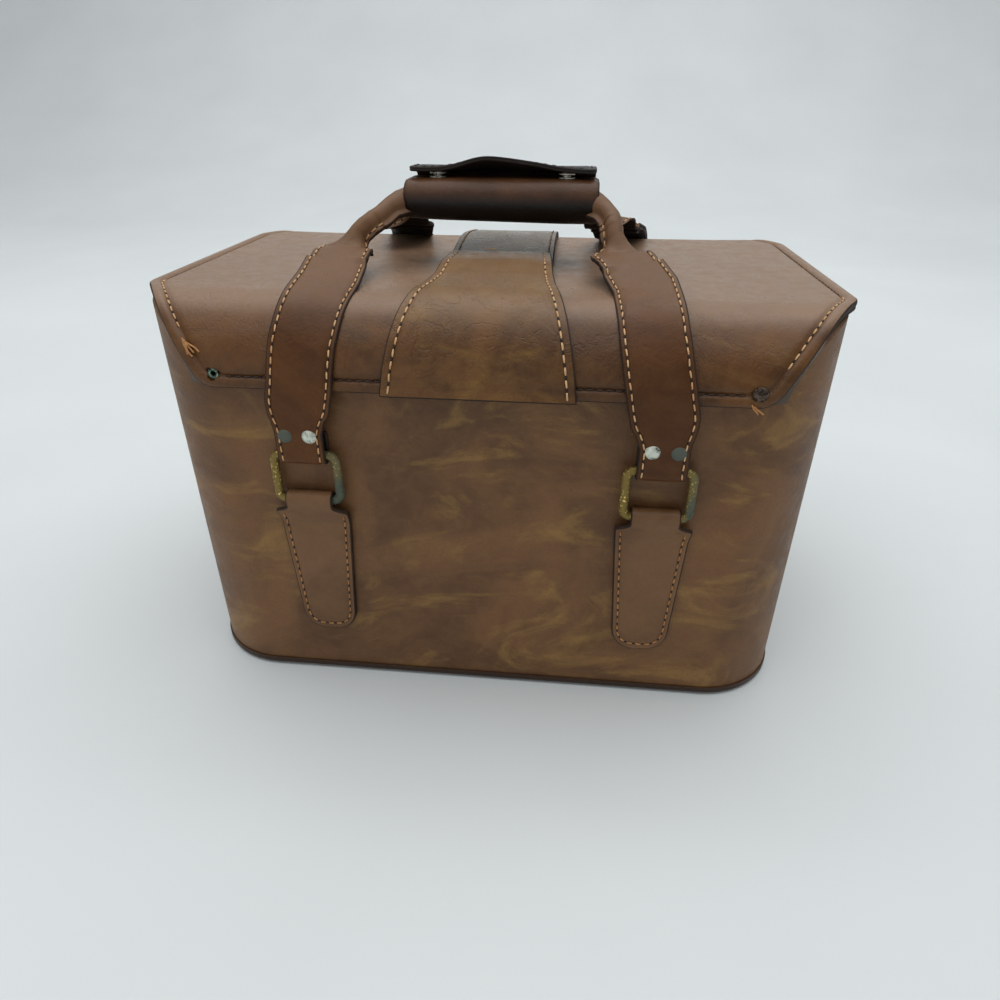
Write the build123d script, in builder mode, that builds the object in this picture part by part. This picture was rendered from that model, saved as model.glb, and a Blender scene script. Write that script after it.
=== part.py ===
"""Hard camera case in brown leatherette.

The body is a board box with rounded upright corners. The lid is one bent board that rolls
down both long sides and hinges on its near lower edge. Two handles hang from brass rings,
and a snap wrap holds their tubes together as one grip. A tuck lock closes the far side.

Origin: middle of the underside. +X is to the right, +Y away from the hinge side, +Z up.
"""
import math
import os

from build123d import *

os.makedirs("parts", exist_ok=True)

# Driving sizes in millimetres
BODY_WIDTH = 323.0
BODY_DEPTH = 212.0
BODY_CORNER = 43.0
COVER = 1.0
WALL_BOARD = 2.4
WALL_LINING = 1.2
SHELL_FOOT = 2.2
LIP_HEIGHT = 3.0
LIP_PROUD = 0.8
BASE_TOP = 6.0
BASE_BEVEL = 0.8
PAD_TOP = 14.0
PAD_EDGE = 2.5

LID_WIDTH = 330.8
LID_HALF_DEPTH = 111.5
LID_TOP = 206.0
LID_FOOT = 170.0
LID_ROLL = LID_TOP - LID_FOOT
LID_SKIN = 1.3
LID_BOARD = 2.7
LID_LINING = 1.0
LINING_PLAN = (311.0, 196.0)
LINING_CORNER = 36.0
LID_APEX_Y = 68.0
LID_SLANT_END = (146.4, 96.6)
LID_FOOT_END = (117.0, LID_HALF_DEPTH)
SEAT_GAP = 0.3

DIVIDER_X = 50.0
DIVIDER_THICK = 6.0
DIVIDER_TOP = 146.0
DIVIDER_CORNER = 12.0
DIVIDER_EDGE = 2.4

HINGE_STRIP = 1.2
HINGE_STRIP_WIDTH = 226.0
HINGE_STRIP_LOW = 166.5
HINGE_STRIP_HEIGHT = 11.0
HINGE_Z = 169.0

RING_X = 82.6
RING_BAR_OUT = 110.6
RING_LOW_Z = 114.0
RING_HIGH_Z = 138.0
RING_SPAN = 30.2
RING_BEND = 3.8
WIRE = 2.15
BAR_CLEARANCE = 0.15
LOOP_OUTER = 4.25

CHAPE_THICK = 2.6
CHAPE_NECK = 11.5
CHAPE_SHOULDER = 18.2
CHAPE_SHOULDER_Z = 107.8
CHAPE_NOTCH = (13.4, 109.3)
CHAPE_NECK_Z = 112.8
CHAPE_FLANK = (14.2, 45.6)
CHAPE_FOOT_Z = 31.6
CHAPE_FOLD_Z = 98.0

STRAP_GAP = 0.3
STRAP_LINING = 1.3
STRAP_LEATHER = 1.95
STRAP_END = 11.25
STRAP_RISE = 14.2
STRAP_FOLD_Y = 36.2
STRAP_LOOP_Z = 153.0
STRAP_CLEAR_IN = 40.0
STRAP_CLEAR_OUT = 110.0
STRAP_EDGE_IN = ((66.2, 164), (62.2, 184), (60.0, 203))
STRAP_EDGE_OUT = ((96.2, 164), (91.4, 184), (89.0, 203))
STRAP_TOP_IN = ((60.6, -98), (58.2, -72), (57.0, -STRAP_FOLD_Y))
STRAP_TOP_OUT = ((89.6, -98), (86.6, -68), (79.0, -STRAP_FOLD_Y))
LINING_START_Z = 156.0
LINING_INSET = 0.6
LINING_SHORT = 6.0
RIVET_Z = 149.2
RIVET_X = (77.3, 88.7)
RIVET_HEAD = 3.5
RIVET_SHANK = 1.6
RIVET_REACH = 5.4
RIVET_CROWN = 1.2

GRIP_HALF = 49.6
GRIP_Z = 238.0
TUBE_Y = 7.5
TUBE = 6.25
TUBE_CORE = 3.5
CORE_HALF = 46.6
FOLD_X = 68.0
FOLD_WIDTH = 22.0
HALFWAY = (65.6, -29.4, 222.0)
HALFWAY_SIZE = (17.0, 7.0)
ROLLED_POINT = (62.2, -22.0, 226.8)
BEND_X = 54.6
BEND_RADIUS = 9.0
WRAP_OUTER = 10.0
WRAP_INNER = 6.3
WRAP_SPLIT = 0.15
SNAP_X = 33.0
SNAP_Y = 5.0
SNAP_RING = 4.2
SNAP_RING_HEIGHT = 0.6
SNAP_PIN = 2.2
SNAP_PIN_HEIGHT = 1.3
CAP_DROP = 0.7
CAP_PIN_HEIGHT = 1.9

FLAP_GAP = 2.5
FLAP_THICK = 2.4
FLAP_HALF = 48.0
FLAP_BULGE = 5.6
FLAP_BULGE_X = -9.0
FLAP_LEVEL_X = 29.0
FLAP_BACK_Y = 5.5
FLAP_FREE_Y = -10.0
FLAP_START = 20.0

BELL_THICK = 2.5
BELL_FLARE = ((38.3, 190.0), (33.0, 202.0), (30.6, 210.0))
BELL_FOOT = 42.6
BELL_TAPER = ((33.6, -92), (30.4, -74), (27.4, -10))
BELL_NOSE = 23.4
BELL_END_Y = -4.0
BELL_STEP_Y = (-50.0, -30.0)
BELL_LIFT = 0.6
BELL_CLEAR = 60.0

CLOSURE_THICK = 3.0
CLOSURE_ROOT_Y = -26.0
CLOSURE_HALF = 28.0
CLOSURE_END_Z = 154.0
CLOSURE_TIP = ((19, CLOSURE_END_Z), (24, 161), (27, 176))
CLOSURE_RIVET_X = 12.0
CLOSURE_RIVET_Z = 162.0

CORNER_RIVET_X = 119.0
CORNER_RIVET_Z = 176.5
CORNER_RIVET_HEAD = 3.4
CORNER_RIVET_SHANK = 1.5
CORNER_RIVET_REACH = 3.6
STUB_OUTER = 2.4
STUB_INNER = 1.3
STUB_DEPTH = 0.6
STUB_LENGTH = 3.0
HEAD_HEIGHT = 1.1
HEAD_EDGE = 0.8

TONGUE_THICK = 1.4
TONGUE_TOP_Z = 168.0
TONGUE_END_Z = 136.0
TONGUE_HALF = 17.0
TONGUE_CRANK = 1.7
LUG_Z = 149.0
LUG_HALF = 8.0
LUG_TIP = 5.0

LOCK_DEPTH = 7.8
LOCK_HALF = 22.0
LOCK_LOW = 118.0
LOCK_TOP = 147.0
LOCK_CORNER = 5.0
LOCK_PLATE = 1.2
LOCK_HOLLOW_HALF = 17.0
LOCK_MOUTH_HALF = 9.5
LOCK_SLOT_X = 2.2
LOCK_SLOT = (15.4, 8.0)
SLIDE = (18.0, 4.9, 12.0)
THUMB = (10.0, 4.6, 7.2)
SPRING_LEAF = (9.2, 10.6, 12.4, 14.2, 16.2)
SPRING_HEIGHT = 8.0

NEAR_FACE = -BODY_DEPTH / 2
ROLL_Y = LID_HALF_DEPTH - LID_ROLL


def save(item, name):
    """Label one finished piece and write its file."""
    item.part.label = name
    export_step(item.part, f"parts/{name}.step")


def save_mirrored(item, near_name, far_name):
    """Write a near piece and its mirror image on the far side."""
    save(item, near_name)
    with BuildPart() as far:
        add(item.part)
        mirror(about=Plane.XZ, mode=Mode.REPLACE)
    save(far, far_name)
    return far


def loaf(inset, foot):
    """End view of the rolled top, inset from the lid's outside and closed at the foot."""
    width = 2 * (LID_HALF_DEPTH - inset)
    with BuildSketch(Plane.YZ) as outline:
        Rectangle(width, LID_TOP - inset, align=(Align.CENTER, Align.MIN))
        fillet(outline.vertices().group_by(Axis.Y)[-1], LID_ROLL - inset)
        if foot:
            Rectangle(width, foot, align=(Align.CENTER, Align.MIN), mode=Mode.SUBTRACT)
    return outline.sketch


def lid_plan(inset):
    """Lid outline from above: straight sides, slanted corners that turn into the foot edges."""
    with BuildSketch() as outline:
        with BuildLine():
            side = Line((LID_WIDTH / 2, 0), (LID_WIDTH / 2, LID_APEX_Y))
            slant = Line(side @ 1, LID_SLANT_END)
            turn = TangentArc(slant @ 1, LID_FOOT_END, tangent=slant % 1)
            Line(turn @ 1, (0, LID_HALF_DEPTH))
            mirror(about=Plane.YZ)
            mirror(about=Plane.XZ)
        make_face()
        if inset:
            offset(amount=-inset, kind=Kind.INTERSECTION, mode=Mode.REPLACE)
    return outline.sketch


def body_plan(inset, height):
    """Body outline from above on a plane at the given height."""
    with BuildSketch(Plane.XY.offset(height)) as outline:
        RectangleRounded(
            BODY_WIDTH - 2 * inset, BODY_DEPTH - 2 * inset, BODY_CORNER - inset
        )
    return outline.sketch


# Body walls: board, leatherette cover that turns over the rim, and a thin lining
SEAT = LID_SKIN + LID_BOARD + SEAT_GAP
INNER_FACE = COVER + WALL_BOARD
BODY_RISE = LID_TOP - SHELL_FOOT

with BuildPart() as body_board:
    extrude(body_plan(COVER, SHELL_FOOT), amount=BODY_RISE)
    extrude(body_plan(INNER_FACE, SHELL_FOOT), amount=BODY_RISE, mode=Mode.SUBTRACT)
    extrude(loaf(SEAT + COVER, 0), amount=BODY_WIDTH, both=True, mode=Mode.INTERSECT)
save(body_board, "body_board")

with BuildPart() as body_cover:
    extrude(body_plan(0, SHELL_FOOT), amount=BODY_RISE)
    with BuildSketch(Plane.XY.offset(SHELL_FOOT)):
        RectangleRounded(
            BODY_WIDTH + 2 * LIP_PROUD, BODY_DEPTH + 2 * LIP_PROUD, BODY_CORNER + LIP_PROUD
        )
    extrude(amount=LIP_HEIGHT)
    extrude(body_plan(INNER_FACE, SHELL_FOOT), amount=BODY_RISE, mode=Mode.SUBTRACT)
    extrude(loaf(SEAT, 0), amount=BODY_WIDTH, both=True, mode=Mode.INTERSECT)
    add(body_board.part, mode=Mode.SUBTRACT)
save(body_cover, "body_cover")

with BuildPart() as body_lining:
    extrude(body_plan(INNER_FACE, BASE_TOP), amount=BODY_RISE)
    extrude(body_plan(INNER_FACE + WALL_LINING, BASE_TOP), amount=BODY_RISE, mode=Mode.SUBTRACT)
    extrude(loaf(SEAT + 3 * COVER, 0), amount=BODY_WIDTH, both=True, mode=Mode.INTERSECT)
save(body_lining, "body_lining")

with BuildPart() as base_board:
    extrude(body_plan(INNER_FACE, 0), amount=BASE_TOP)
    chamfer(base_board.edges().group_by(Axis.Z)[0], BASE_BEVEL)
save(base_board, "base_board")

with BuildPart() as base_pad:
    extrude(body_plan(INNER_FACE + WALL_LINING, BASE_TOP), amount=PAD_TOP - BASE_TOP)
    fillet(base_pad.edges().group_by(Axis.Z)[-1], PAD_EDGE)
save(base_pad, "base_pad")

# Two padded dividers stand across the inside
for divider_name, divider_side in (("divider_left", -1), ("divider_right", 1)):
    with BuildPart() as divider:
        divider_face = divider_side * DIVIDER_X - DIVIDER_THICK / 2
        with BuildSketch(Plane.YZ.offset(divider_face)) as panel:
            with Locations((0, PAD_TOP)):
                Rectangle(
                    BODY_DEPTH - 2 * (INNER_FACE + WALL_LINING),
                    DIVIDER_TOP - PAD_TOP,
                    align=(Align.CENTER, Align.MIN),
                )
            fillet(panel.vertices().group_by(Axis.Y)[-1], DIVIDER_CORNER)
        extrude(amount=DIVIDER_THICK)
        fillet(divider.edges().filter_by(Axis.Y), DIVIDER_EDGE)
    save(divider, divider_name)

# Leather hinge strip, glued to the near face and tucked up under the lid's lower edge
HINGE_Y = -(LID_HALF_DEPTH - SEAT + STRAP_GAP / 2)
with BuildPart() as hinge_strip:
    with BuildSketch(Plane.XY.offset(HINGE_STRIP_LOW)):
        with Locations((0, NEAR_FACE)):
            Rectangle(HINGE_STRIP_WIDTH, HINGE_STRIP, align=(Align.CENTER, Align.MAX))
    extrude(amount=HINGE_STRIP_HEIGHT)
    extrude(loaf(SEAT, 0), amount=BODY_WIDTH, both=True, mode=Mode.INTERSECT)
save(hinge_strip, "hinge_strip")


def chape(side):
    """Leather tab sewn to the near face: rounded foot, notched shoulders, loop round the ring."""
    face = Plane(origin=(side * RING_X, NEAR_FACE, 0), x_dir=(1, 0, 0), z_dir=(0, -1, 0))
    loop = Plane.YZ.offset(side * RING_X - CHAPE_NECK)
    with BuildPart() as tab:
        with BuildSketch(face):
            with BuildLine():
                neck = Line((0, CHAPE_NECK_Z), (CHAPE_NECK, CHAPE_NECK_Z))
                notch = ThreePointArc(neck @ 1, CHAPE_NOTCH, (CHAPE_SHOULDER, CHAPE_SHOULDER_Z))
                flank = Line(notch @ 1, CHAPE_FLANK)
                TangentArc(flank @ 1, (0, CHAPE_FOOT_Z), tangent=flank % 1)
                mirror(about=Plane.YZ)
            make_face()
        extrude(amount=CHAPE_THICK)
        with BuildSketch(loop):
            with Locations((NEAR_FACE, CHAPE_FOLD_Z)):
                Rectangle(CHAPE_THICK, CHAPE_THICK, align=(Align.MAX, Align.MIN))
            with Locations((-RING_BAR_OUT, RING_LOW_Z)):
                Circle(LOOP_OUTER)
            make_hull()
            with Locations((-RING_BAR_OUT, RING_LOW_Z)):
                Circle(WIRE + BAR_CLEARANCE, mode=Mode.SUBTRACT)
        extrude(amount=2 * CHAPE_NECK)
    return tab


def ring(side):
    """Rectangular wire ring that links a chape to its strap."""
    face = Plane(origin=(side * RING_X, -RING_BAR_OUT, 0), x_dir=(1, 0, 0), z_dir=(0, -1, 0))
    half = RING_SPAN / 2
    with BuildPart() as link:
        with BuildLine(face) as path:
            FilletPolyline(
                (-half, RING_LOW_Z),
                (half, RING_LOW_Z),
                (half, RING_HIGH_Z),
                (-half, RING_HIGH_Z),
                radius=RING_BEND,
                close=True,
            )
        with BuildSketch(Plane(origin=path.line @ 0, z_dir=path.line % 0)):
            Circle(WIRE)
        sweep()
    return link


for side_name, side in (("left", -1), ("right", 1)):
    save_mirrored(chape(side), f"near_chape_{side_name}", f"far_chape_{side_name}")
    save_mirrored(ring(side), f"near_ring_{side_name}", f"far_ring_{side_name}")


def strap_layer(inner, outer, start_z, fold_y):
    """End view of one strap layer: up the face, over the roll, then rising to the grip."""
    turn = 90 - STRAP_RISE
    centre = (-ROLL_Y, LID_FOOT)
    rise = (math.cos(math.radians(STRAP_RISE)), math.sin(math.radians(STRAP_RISE)))
    leave = Vector(centre) + Vector(-rise[1], rise[0]) * outer
    run = (-fold_y - leave.X) / rise[0]
    with BuildSketch(Plane.YZ) as layer:
        with BuildLine():
            outside = Line((-ROLL_Y - outer, start_z), (-ROLL_Y - outer, LID_FOOT))
            over = CenterArc(centre, outer, 180, -turn)
            top = Line(over @ 1, over @ 1 + Vector(rise[0], rise[1]) * run)
            tip = Line(top @ 1, top @ 1 + Vector(rise[1], -rise[0]) * (outer - inner))
            under = CenterArc(centre, inner, 180, -turn)
            Line(tip @ 1, under @ 1)
            back = Line(under @ 0, (-ROLL_Y - inner, start_z))
            Line(back @ 1, outside @ 0)
        make_face()
    return layer.sketch


def strap_front(trim):
    """Strap outline from the front: narrow at the ring, then full width and leaning inward."""
    with BuildSketch(Plane.XZ) as outline:
        with BuildLine():
            inner_edge = [(RING_X - STRAP_END + trim, STRAP_LOOP_Z)]
            inner_edge += [(x + trim, z) for x, z in STRAP_EDGE_IN]
            left = Spline(inner_edge, tangents=((0, 1), (-0.05, 1)))
            outer_edge = [(RING_X + STRAP_END - trim, STRAP_LOOP_Z)]
            outer_edge += [(x - trim, z) for x, z in STRAP_EDGE_OUT]
            right = Spline(outer_edge, tangents=((0, 1), (-0.05, 1)))
            low = (left @ 0).Y - STRAP_END
            Polyline(left @ 0, ((left @ 0).X, low), ((right @ 0).X, low), right @ 0)
            top = (left @ 1).Y
            Polyline(
                left @ 1,
                (STRAP_CLEAR_IN, top),
                (STRAP_CLEAR_IN, GRIP_Z),
                (STRAP_CLEAR_OUT, GRIP_Z),
                (STRAP_CLEAR_OUT, top),
                right @ 1,
            )
        make_face()
    return outline.sketch


def strap_plan(trim):
    """Strap outline from above: the edges draw in towards the fold."""
    with BuildSketch() as outline:
        with BuildLine():
            inner = Spline([(x + trim, y) for x, y in STRAP_TOP_IN])
            outer = Spline([(x - trim, y) for x, y in STRAP_TOP_OUT])
            start = (inner @ 0).Y
            front = NEAR_FACE - 20
            Polyline(
                inner @ 0,
                (STRAP_CLEAR_IN, start),
                (STRAP_CLEAR_IN, front),
                (STRAP_CLEAR_OUT, front),
                (STRAP_CLEAR_OUT, start),
                outer @ 0,
            )
            Line(inner @ 1, outer @ 1)
        make_face()
    return outline.sketch


LAYER_0 = LID_ROLL + STRAP_GAP
LAYER_1 = LAYER_0 + STRAP_LINING
LAYER_2 = LAYER_1 + STRAP_LEATHER
STRAP_FRONT = ROLL_Y + LAYER_2
STRAP_DEEP = STRAP_FRONT + STRAP_END

# Rivets, two through each strap end
with BuildPart() as near_strap_rivets:
    for rivet_x in (-RIVET_X[1], -RIVET_X[0], RIVET_X[0], RIVET_X[1]):
        with BuildSketch(Plane(origin=(rivet_x, 0, RIVET_Z), x_dir=(1, 0, 0), z_dir=(0, 0, 1))):
            with BuildLine():
                head = ThreePointArc(
                    (0, -STRAP_FRONT - RIVET_CROWN),
                    (0.63 * RIVET_HEAD, -STRAP_FRONT - 0.75 * RIVET_CROWN),
                    (RIVET_HEAD, -STRAP_FRONT),
                )
                Polyline(
                    head @ 1,
                    (RIVET_SHANK, -STRAP_FRONT),
                    (RIVET_SHANK, -STRAP_FRONT + RIVET_REACH),
                    (0, -STRAP_FRONT + RIVET_REACH),
                    head @ 0,
                )
            make_face()
        revolve(axis=Axis((rivet_x, 0, RIVET_Z), (0, 1, 0)))
save_mirrored(near_strap_rivets, "near_strap_rivets", "far_strap_rivets")

# Strap linings, the second leather layer under each strap
with BuildPart() as near_strap_linings:
    lining_side = strap_layer(LAYER_0, LAYER_1, LINING_START_Z, STRAP_FOLD_Y + LINING_SHORT)
    extrude(lining_side, amount=STRAP_CLEAR_OUT)
    extrude(strap_front(LINING_INSET), amount=STRAP_DEEP, mode=Mode.INTERSECT)
    extrude(strap_plan(LINING_INSET), amount=GRIP_Z, mode=Mode.INTERSECT)
    mirror(about=Plane.YZ)
save_mirrored(near_strap_linings, "near_strap_linings", "far_strap_linings")

# Handle leather: each end loops round a ring, the middle is rolled into the grip tube
RISE = math.radians(STRAP_RISE)
LAYER_MID = (LAYER_1 + LAYER_2) / 2
FOLD_RUN = (ROLL_Y + LAYER_MID * math.sin(RISE) - STRAP_FOLD_Y) / math.cos(RISE)
FOLD_Z = LID_FOOT + LAYER_MID * math.cos(RISE) + FOLD_RUN * math.sin(RISE)
FOLD_POINT = (FOLD_X, -STRAP_FOLD_Y, FOLD_Z)
BEND_POINT = (BEND_X, -TUBE_Y, GRIP_Z)

with BuildPart() as near_handle_leather:
    extrude(strap_layer(LAYER_1, LAYER_2, STRAP_LOOP_Z, STRAP_FOLD_Y), amount=STRAP_CLEAR_OUT)
    extrude(strap_front(0), amount=STRAP_DEEP, mode=Mode.INTERSECT)
    extrude(strap_plan(0), amount=GRIP_Z, mode=Mode.INTERSECT)
    with BuildSketch(Plane.YZ.offset(RING_X - STRAP_END)):
        with Locations((-STRAP_FRONT, STRAP_LOOP_Z)):
            Rectangle(STRAP_LEATHER, STRAP_LEATHER, align=(Align.MIN, Align.MIN))
        with Locations((-RING_BAR_OUT, RING_HIGH_Z)):
            Circle(LOOP_OUTER)
        make_hull()
        with Locations((-RING_BAR_OUT, RING_HIGH_Z)):
            Circle(WIRE + BAR_CLEARANCE, mode=Mode.SUBTRACT)
    extrude(amount=2 * STRAP_END)
    along_strap = (0, math.cos(RISE), math.sin(RISE))
    with BuildSketch(Plane(origin=FOLD_POINT, x_dir=(1, 0, 0), z_dir=along_strap)):
        RectangleRounded(FOLD_WIDTH, STRAP_LEATHER, 0.45 * STRAP_LEATHER)
    with BuildSketch(Plane(origin=HALFWAY, x_dir=(1, 0.2, 0), z_dir=(-0.2, 1, 0.5))):
        RectangleRounded(*HALFWAY_SIZE, 0.48 * HALFWAY_SIZE[1])
    along_tube = Vector(BEND_POINT) - Vector(ROLLED_POINT)
    with BuildSketch(Plane(origin=ROLLED_POINT, z_dir=along_tube)):
        RectangleRounded(2 * TUBE, 2 * TUBE, 0.99 * TUBE)
    loft()
    with BuildLine() as tube_path:
        FilletPolyline(ROLLED_POINT, BEND_POINT, (0, -TUBE_Y, GRIP_Z), radius=BEND_RADIUS)
    with BuildSketch(Plane(origin=tube_path.line @ 0, z_dir=tube_path.line % 0)):
        Circle(TUBE)
    sweep(path=tube_path.line)
    mirror(about=Plane.YZ)
    with Locations((0, -TUBE_Y, GRIP_Z)):
        Cylinder(TUBE_CORE, 2 * CORE_HALF, rotation=(0, 90, 0), mode=Mode.SUBTRACT)
    add(near_strap_rivets.part, mode=Mode.SUBTRACT)
save_mirrored(near_handle_leather, "near_handle_leather", "far_handle_leather")

# Rope core inside the rolled part of each handle
with BuildPart() as near_handle_core:
    with Locations((0, -TUBE_Y, GRIP_Z)):
        Cylinder(TUBE_CORE, 2 * CORE_HALF, rotation=(0, 90, 0))
save_mirrored(near_handle_core, "near_handle_core", "far_handle_core")

# Padded grip wrap, in two facing halves
with BuildPart() as near_grip_wrap:
    with BuildSketch(Plane.YZ):
        with Locations((-TUBE_Y, GRIP_Z)):
            Circle(WRAP_OUTER)
            Rectangle(TUBE_Y, 2 * WRAP_OUTER, align=(Align.MIN, Align.CENTER))
            Circle(WRAP_INNER, mode=Mode.SUBTRACT)
            Rectangle(TUBE_Y, 2 * WRAP_INNER, align=(Align.MIN, Align.CENTER), mode=Mode.SUBTRACT)
        with Locations((-WRAP_SPLIT, GRIP_Z)):
            beyond = (WRAP_OUTER, 3 * WRAP_OUTER)
            Rectangle(*beyond, align=(Align.MIN, Align.CENTER), mode=Mode.SUBTRACT)
    extrude(amount=GRIP_HALF, both=True)
save_mirrored(near_grip_wrap, "near_grip_wrap", "far_grip_wrap")

# Snap studs on the near half, and the flap with its two caps on the far half
GRIP_TOP = GRIP_Z + WRAP_OUTER
FLAP_UNDER = GRIP_TOP + FLAP_GAP
FLAP_CENTRE = (FLAP_BACK_Y, GRIP_Z)
STANDING = (Align.CENTER, Align.CENTER, Align.MIN)

with BuildPart() as near_snap_studs:
    with Locations((-SNAP_X, -SNAP_Y, GRIP_TOP), (SNAP_X, -SNAP_Y, GRIP_TOP)):
        Cylinder(SNAP_RING, SNAP_RING_HEIGHT, align=STANDING)
        Cylinder(SNAP_PIN, SNAP_PIN_HEIGHT, align=STANDING)
save(near_snap_studs, "near_snap_studs")

# Each cap's shank ends inside the flap, under its outer layer
with BuildPart() as flap_snap_caps:
    cap_z = FLAP_UNDER - CAP_DROP
    with Locations((-SNAP_X, -SNAP_Y, cap_z), (SNAP_X, -SNAP_Y, cap_z)):
        Cylinder(SNAP_RING, CAP_DROP, align=STANDING)
        Cylinder(SNAP_PIN, CAP_PIN_HEIGHT, align=STANDING)
save(flap_snap_caps, "flap_snap_caps")


def flap_edge(plane, bulge):
    """Section through the flap at one depth, with a buckle of the given height."""
    with BuildSketch(plane) as section:
        with BuildLine():
            faces = []
            for level in (FLAP_UNDER, FLAP_UNDER + FLAP_THICK):
                faces.append(
                    Spline(
                        (-FLAP_HALF, level),
                        (-FLAP_LEVEL_X, level),
                        (FLAP_BULGE_X, level + bulge),
                        (FLAP_LEVEL_X, level),
                        (FLAP_HALF, level),
                    )
                )
            Line(faces[0] @ 0, faces[1] @ 0)
            Line(faces[0] @ 1, faces[1] @ 1)
        make_face()
    return section.sketch


with BuildPart() as grip_flap:
    with BuildSketch(Plane.YZ):
        with BuildLine():
            reach = FLAP_UNDER - GRIP_Z
            inside = CenterArc(FLAP_CENTRE, reach, FLAP_START, 90 - FLAP_START)
            outside = CenterArc(FLAP_CENTRE, reach + FLAP_THICK, FLAP_START, 90 - FLAP_START)
            Line(inside @ 0, outside @ 0)
            Line(inside @ 1, outside @ 1)
        make_face()
    extrude(amount=FLAP_HALF, both=True)
    level_end = Plane(origin=(0, FLAP_CENTRE[0], 0), x_dir=(1, 0, 0), z_dir=(0, -1, 0))
    free_end = Plane(origin=(0, FLAP_FREE_Y, 0), x_dir=(1, 0, 0), z_dir=(0, -1, 0))
    loft([flap_edge(level_end, 0.01), flap_edge(free_end, FLAP_BULGE)])
    add(flap_snap_caps.part, mode=Mode.SUBTRACT)
save(grip_flap, "grip_flap")

# Lid: bent board, leatherette skin turned round its edges, and a lining inside
with BuildPart() as lid_board:
    extrude(loaf(LID_SKIN, LID_FOOT + LID_SKIN), amount=LID_WIDTH, both=True)
    extrude(loaf(LID_SKIN + LID_BOARD, 0), amount=LID_WIDTH, both=True, mode=Mode.SUBTRACT)
    extrude(lid_plan(LID_SKIN), amount=LID_TOP, mode=Mode.INTERSECT)

with BuildPart() as corner_rivet_right:
    with Locations((CORNER_RIVET_X, -LID_HALF_DEPTH, CORNER_RIVET_Z)):
        Cylinder(CORNER_RIVET_HEAD, HEAD_HEIGHT, rotation=(90, 0, 0), align=STANDING)
        Cylinder(CORNER_RIVET_SHANK, CORNER_RIVET_REACH, rotation=(-90, 0, 0), align=STANDING)
    fillet(corner_rivet_right.edges().group_by(Axis.Y)[0], HEAD_EDGE)
save(corner_rivet_right, "corner_rivet_right")

# The left rivet has lost its cap, and only the hollow stub is left in the hole
with BuildPart() as corner_rivet_left:
    with Locations((-CORNER_RIVET_X, -LID_HALF_DEPTH + STUB_DEPTH, CORNER_RIVET_Z)):
        Cylinder(STUB_OUTER, STUB_LENGTH, rotation=(-90, 0, 0), align=STANDING)
        stub_bore = (STUB_INNER, STUB_LENGTH)
        Cylinder(*stub_bore, rotation=(-90, 0, 0), align=STANDING, mode=Mode.SUBTRACT)
save(corner_rivet_left, "corner_rivet_left")


def rivet_holes():
    """Cut the two corner rivets' holes out of the piece being built."""
    with Locations((-CORNER_RIVET_X, -LID_HALF_DEPTH, CORNER_RIVET_Z)):
        Cylinder(STUB_OUTER, 3 * SEAT, rotation=(90, 0, 0), mode=Mode.SUBTRACT)
    with Locations((CORNER_RIVET_X, -LID_HALF_DEPTH, CORNER_RIVET_Z)):
        Cylinder(CORNER_RIVET_SHANK, 3 * SEAT, rotation=(90, 0, 0), mode=Mode.SUBTRACT)


with BuildPart() as lid_cover:
    extrude(loaf(0, LID_FOOT), amount=LID_WIDTH, both=True)
    extrude(loaf(LID_SKIN + LID_BOARD, 0), amount=LID_WIDTH, both=True, mode=Mode.SUBTRACT)
    extrude(lid_plan(0), amount=LID_TOP + 1, mode=Mode.INTERSECT)
    add(lid_board.part, mode=Mode.SUBTRACT)
    rivet_holes()
save(lid_cover, "lid_cover")

with BuildPart() as lid_board_drilled:
    add(lid_board.part)
    rivet_holes()
save(lid_board_drilled, "lid_board")

with BuildPart() as lid_lining:
    extrude(loaf(LID_SKIN + LID_BOARD, LID_FOOT + 10), amount=LID_WIDTH, both=True)
    extrude(loaf(LID_SKIN + LID_BOARD + LID_LINING, 0), amount=LID_WIDTH, both=True, mode=Mode.SUBTRACT)
    with BuildSketch():
        RectangleRounded(*LINING_PLAN, LINING_CORNER)
    extrude(amount=LID_TOP, mode=Mode.INTERSECT)
save(lid_lining, "lid_lining")


def bell_side():
    """End view of the bell band: up the near roll, flat, then a step over the closure root."""
    with BuildSketch(Plane.YZ) as band:
        with BuildLine():
            stepped = LID_TOP + CLOSURE_THICK + BELL_LIFT
            for rise in (0, BELL_THICK):
                over = CenterArc((-ROLL_Y, LID_FOOT), LID_ROLL + rise, 180, -90)
                flat = Line(over @ 1, (BELL_STEP_Y[0], LID_TOP + rise))
                step = Spline(flat @ 1, (BELL_STEP_Y[1], stepped + rise), tangents=((1, 0), (1, 0)))
                Line(step @ 1, (BELL_END_Y, stepped + rise))
            Line((-LID_HALF_DEPTH, LID_FOOT), (-LID_HALF_DEPTH - BELL_THICK, LID_FOOT))
            Line((BELL_END_Y, stepped), (BELL_END_Y, stepped + BELL_THICK))
        make_face()
    return band.sketch


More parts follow.
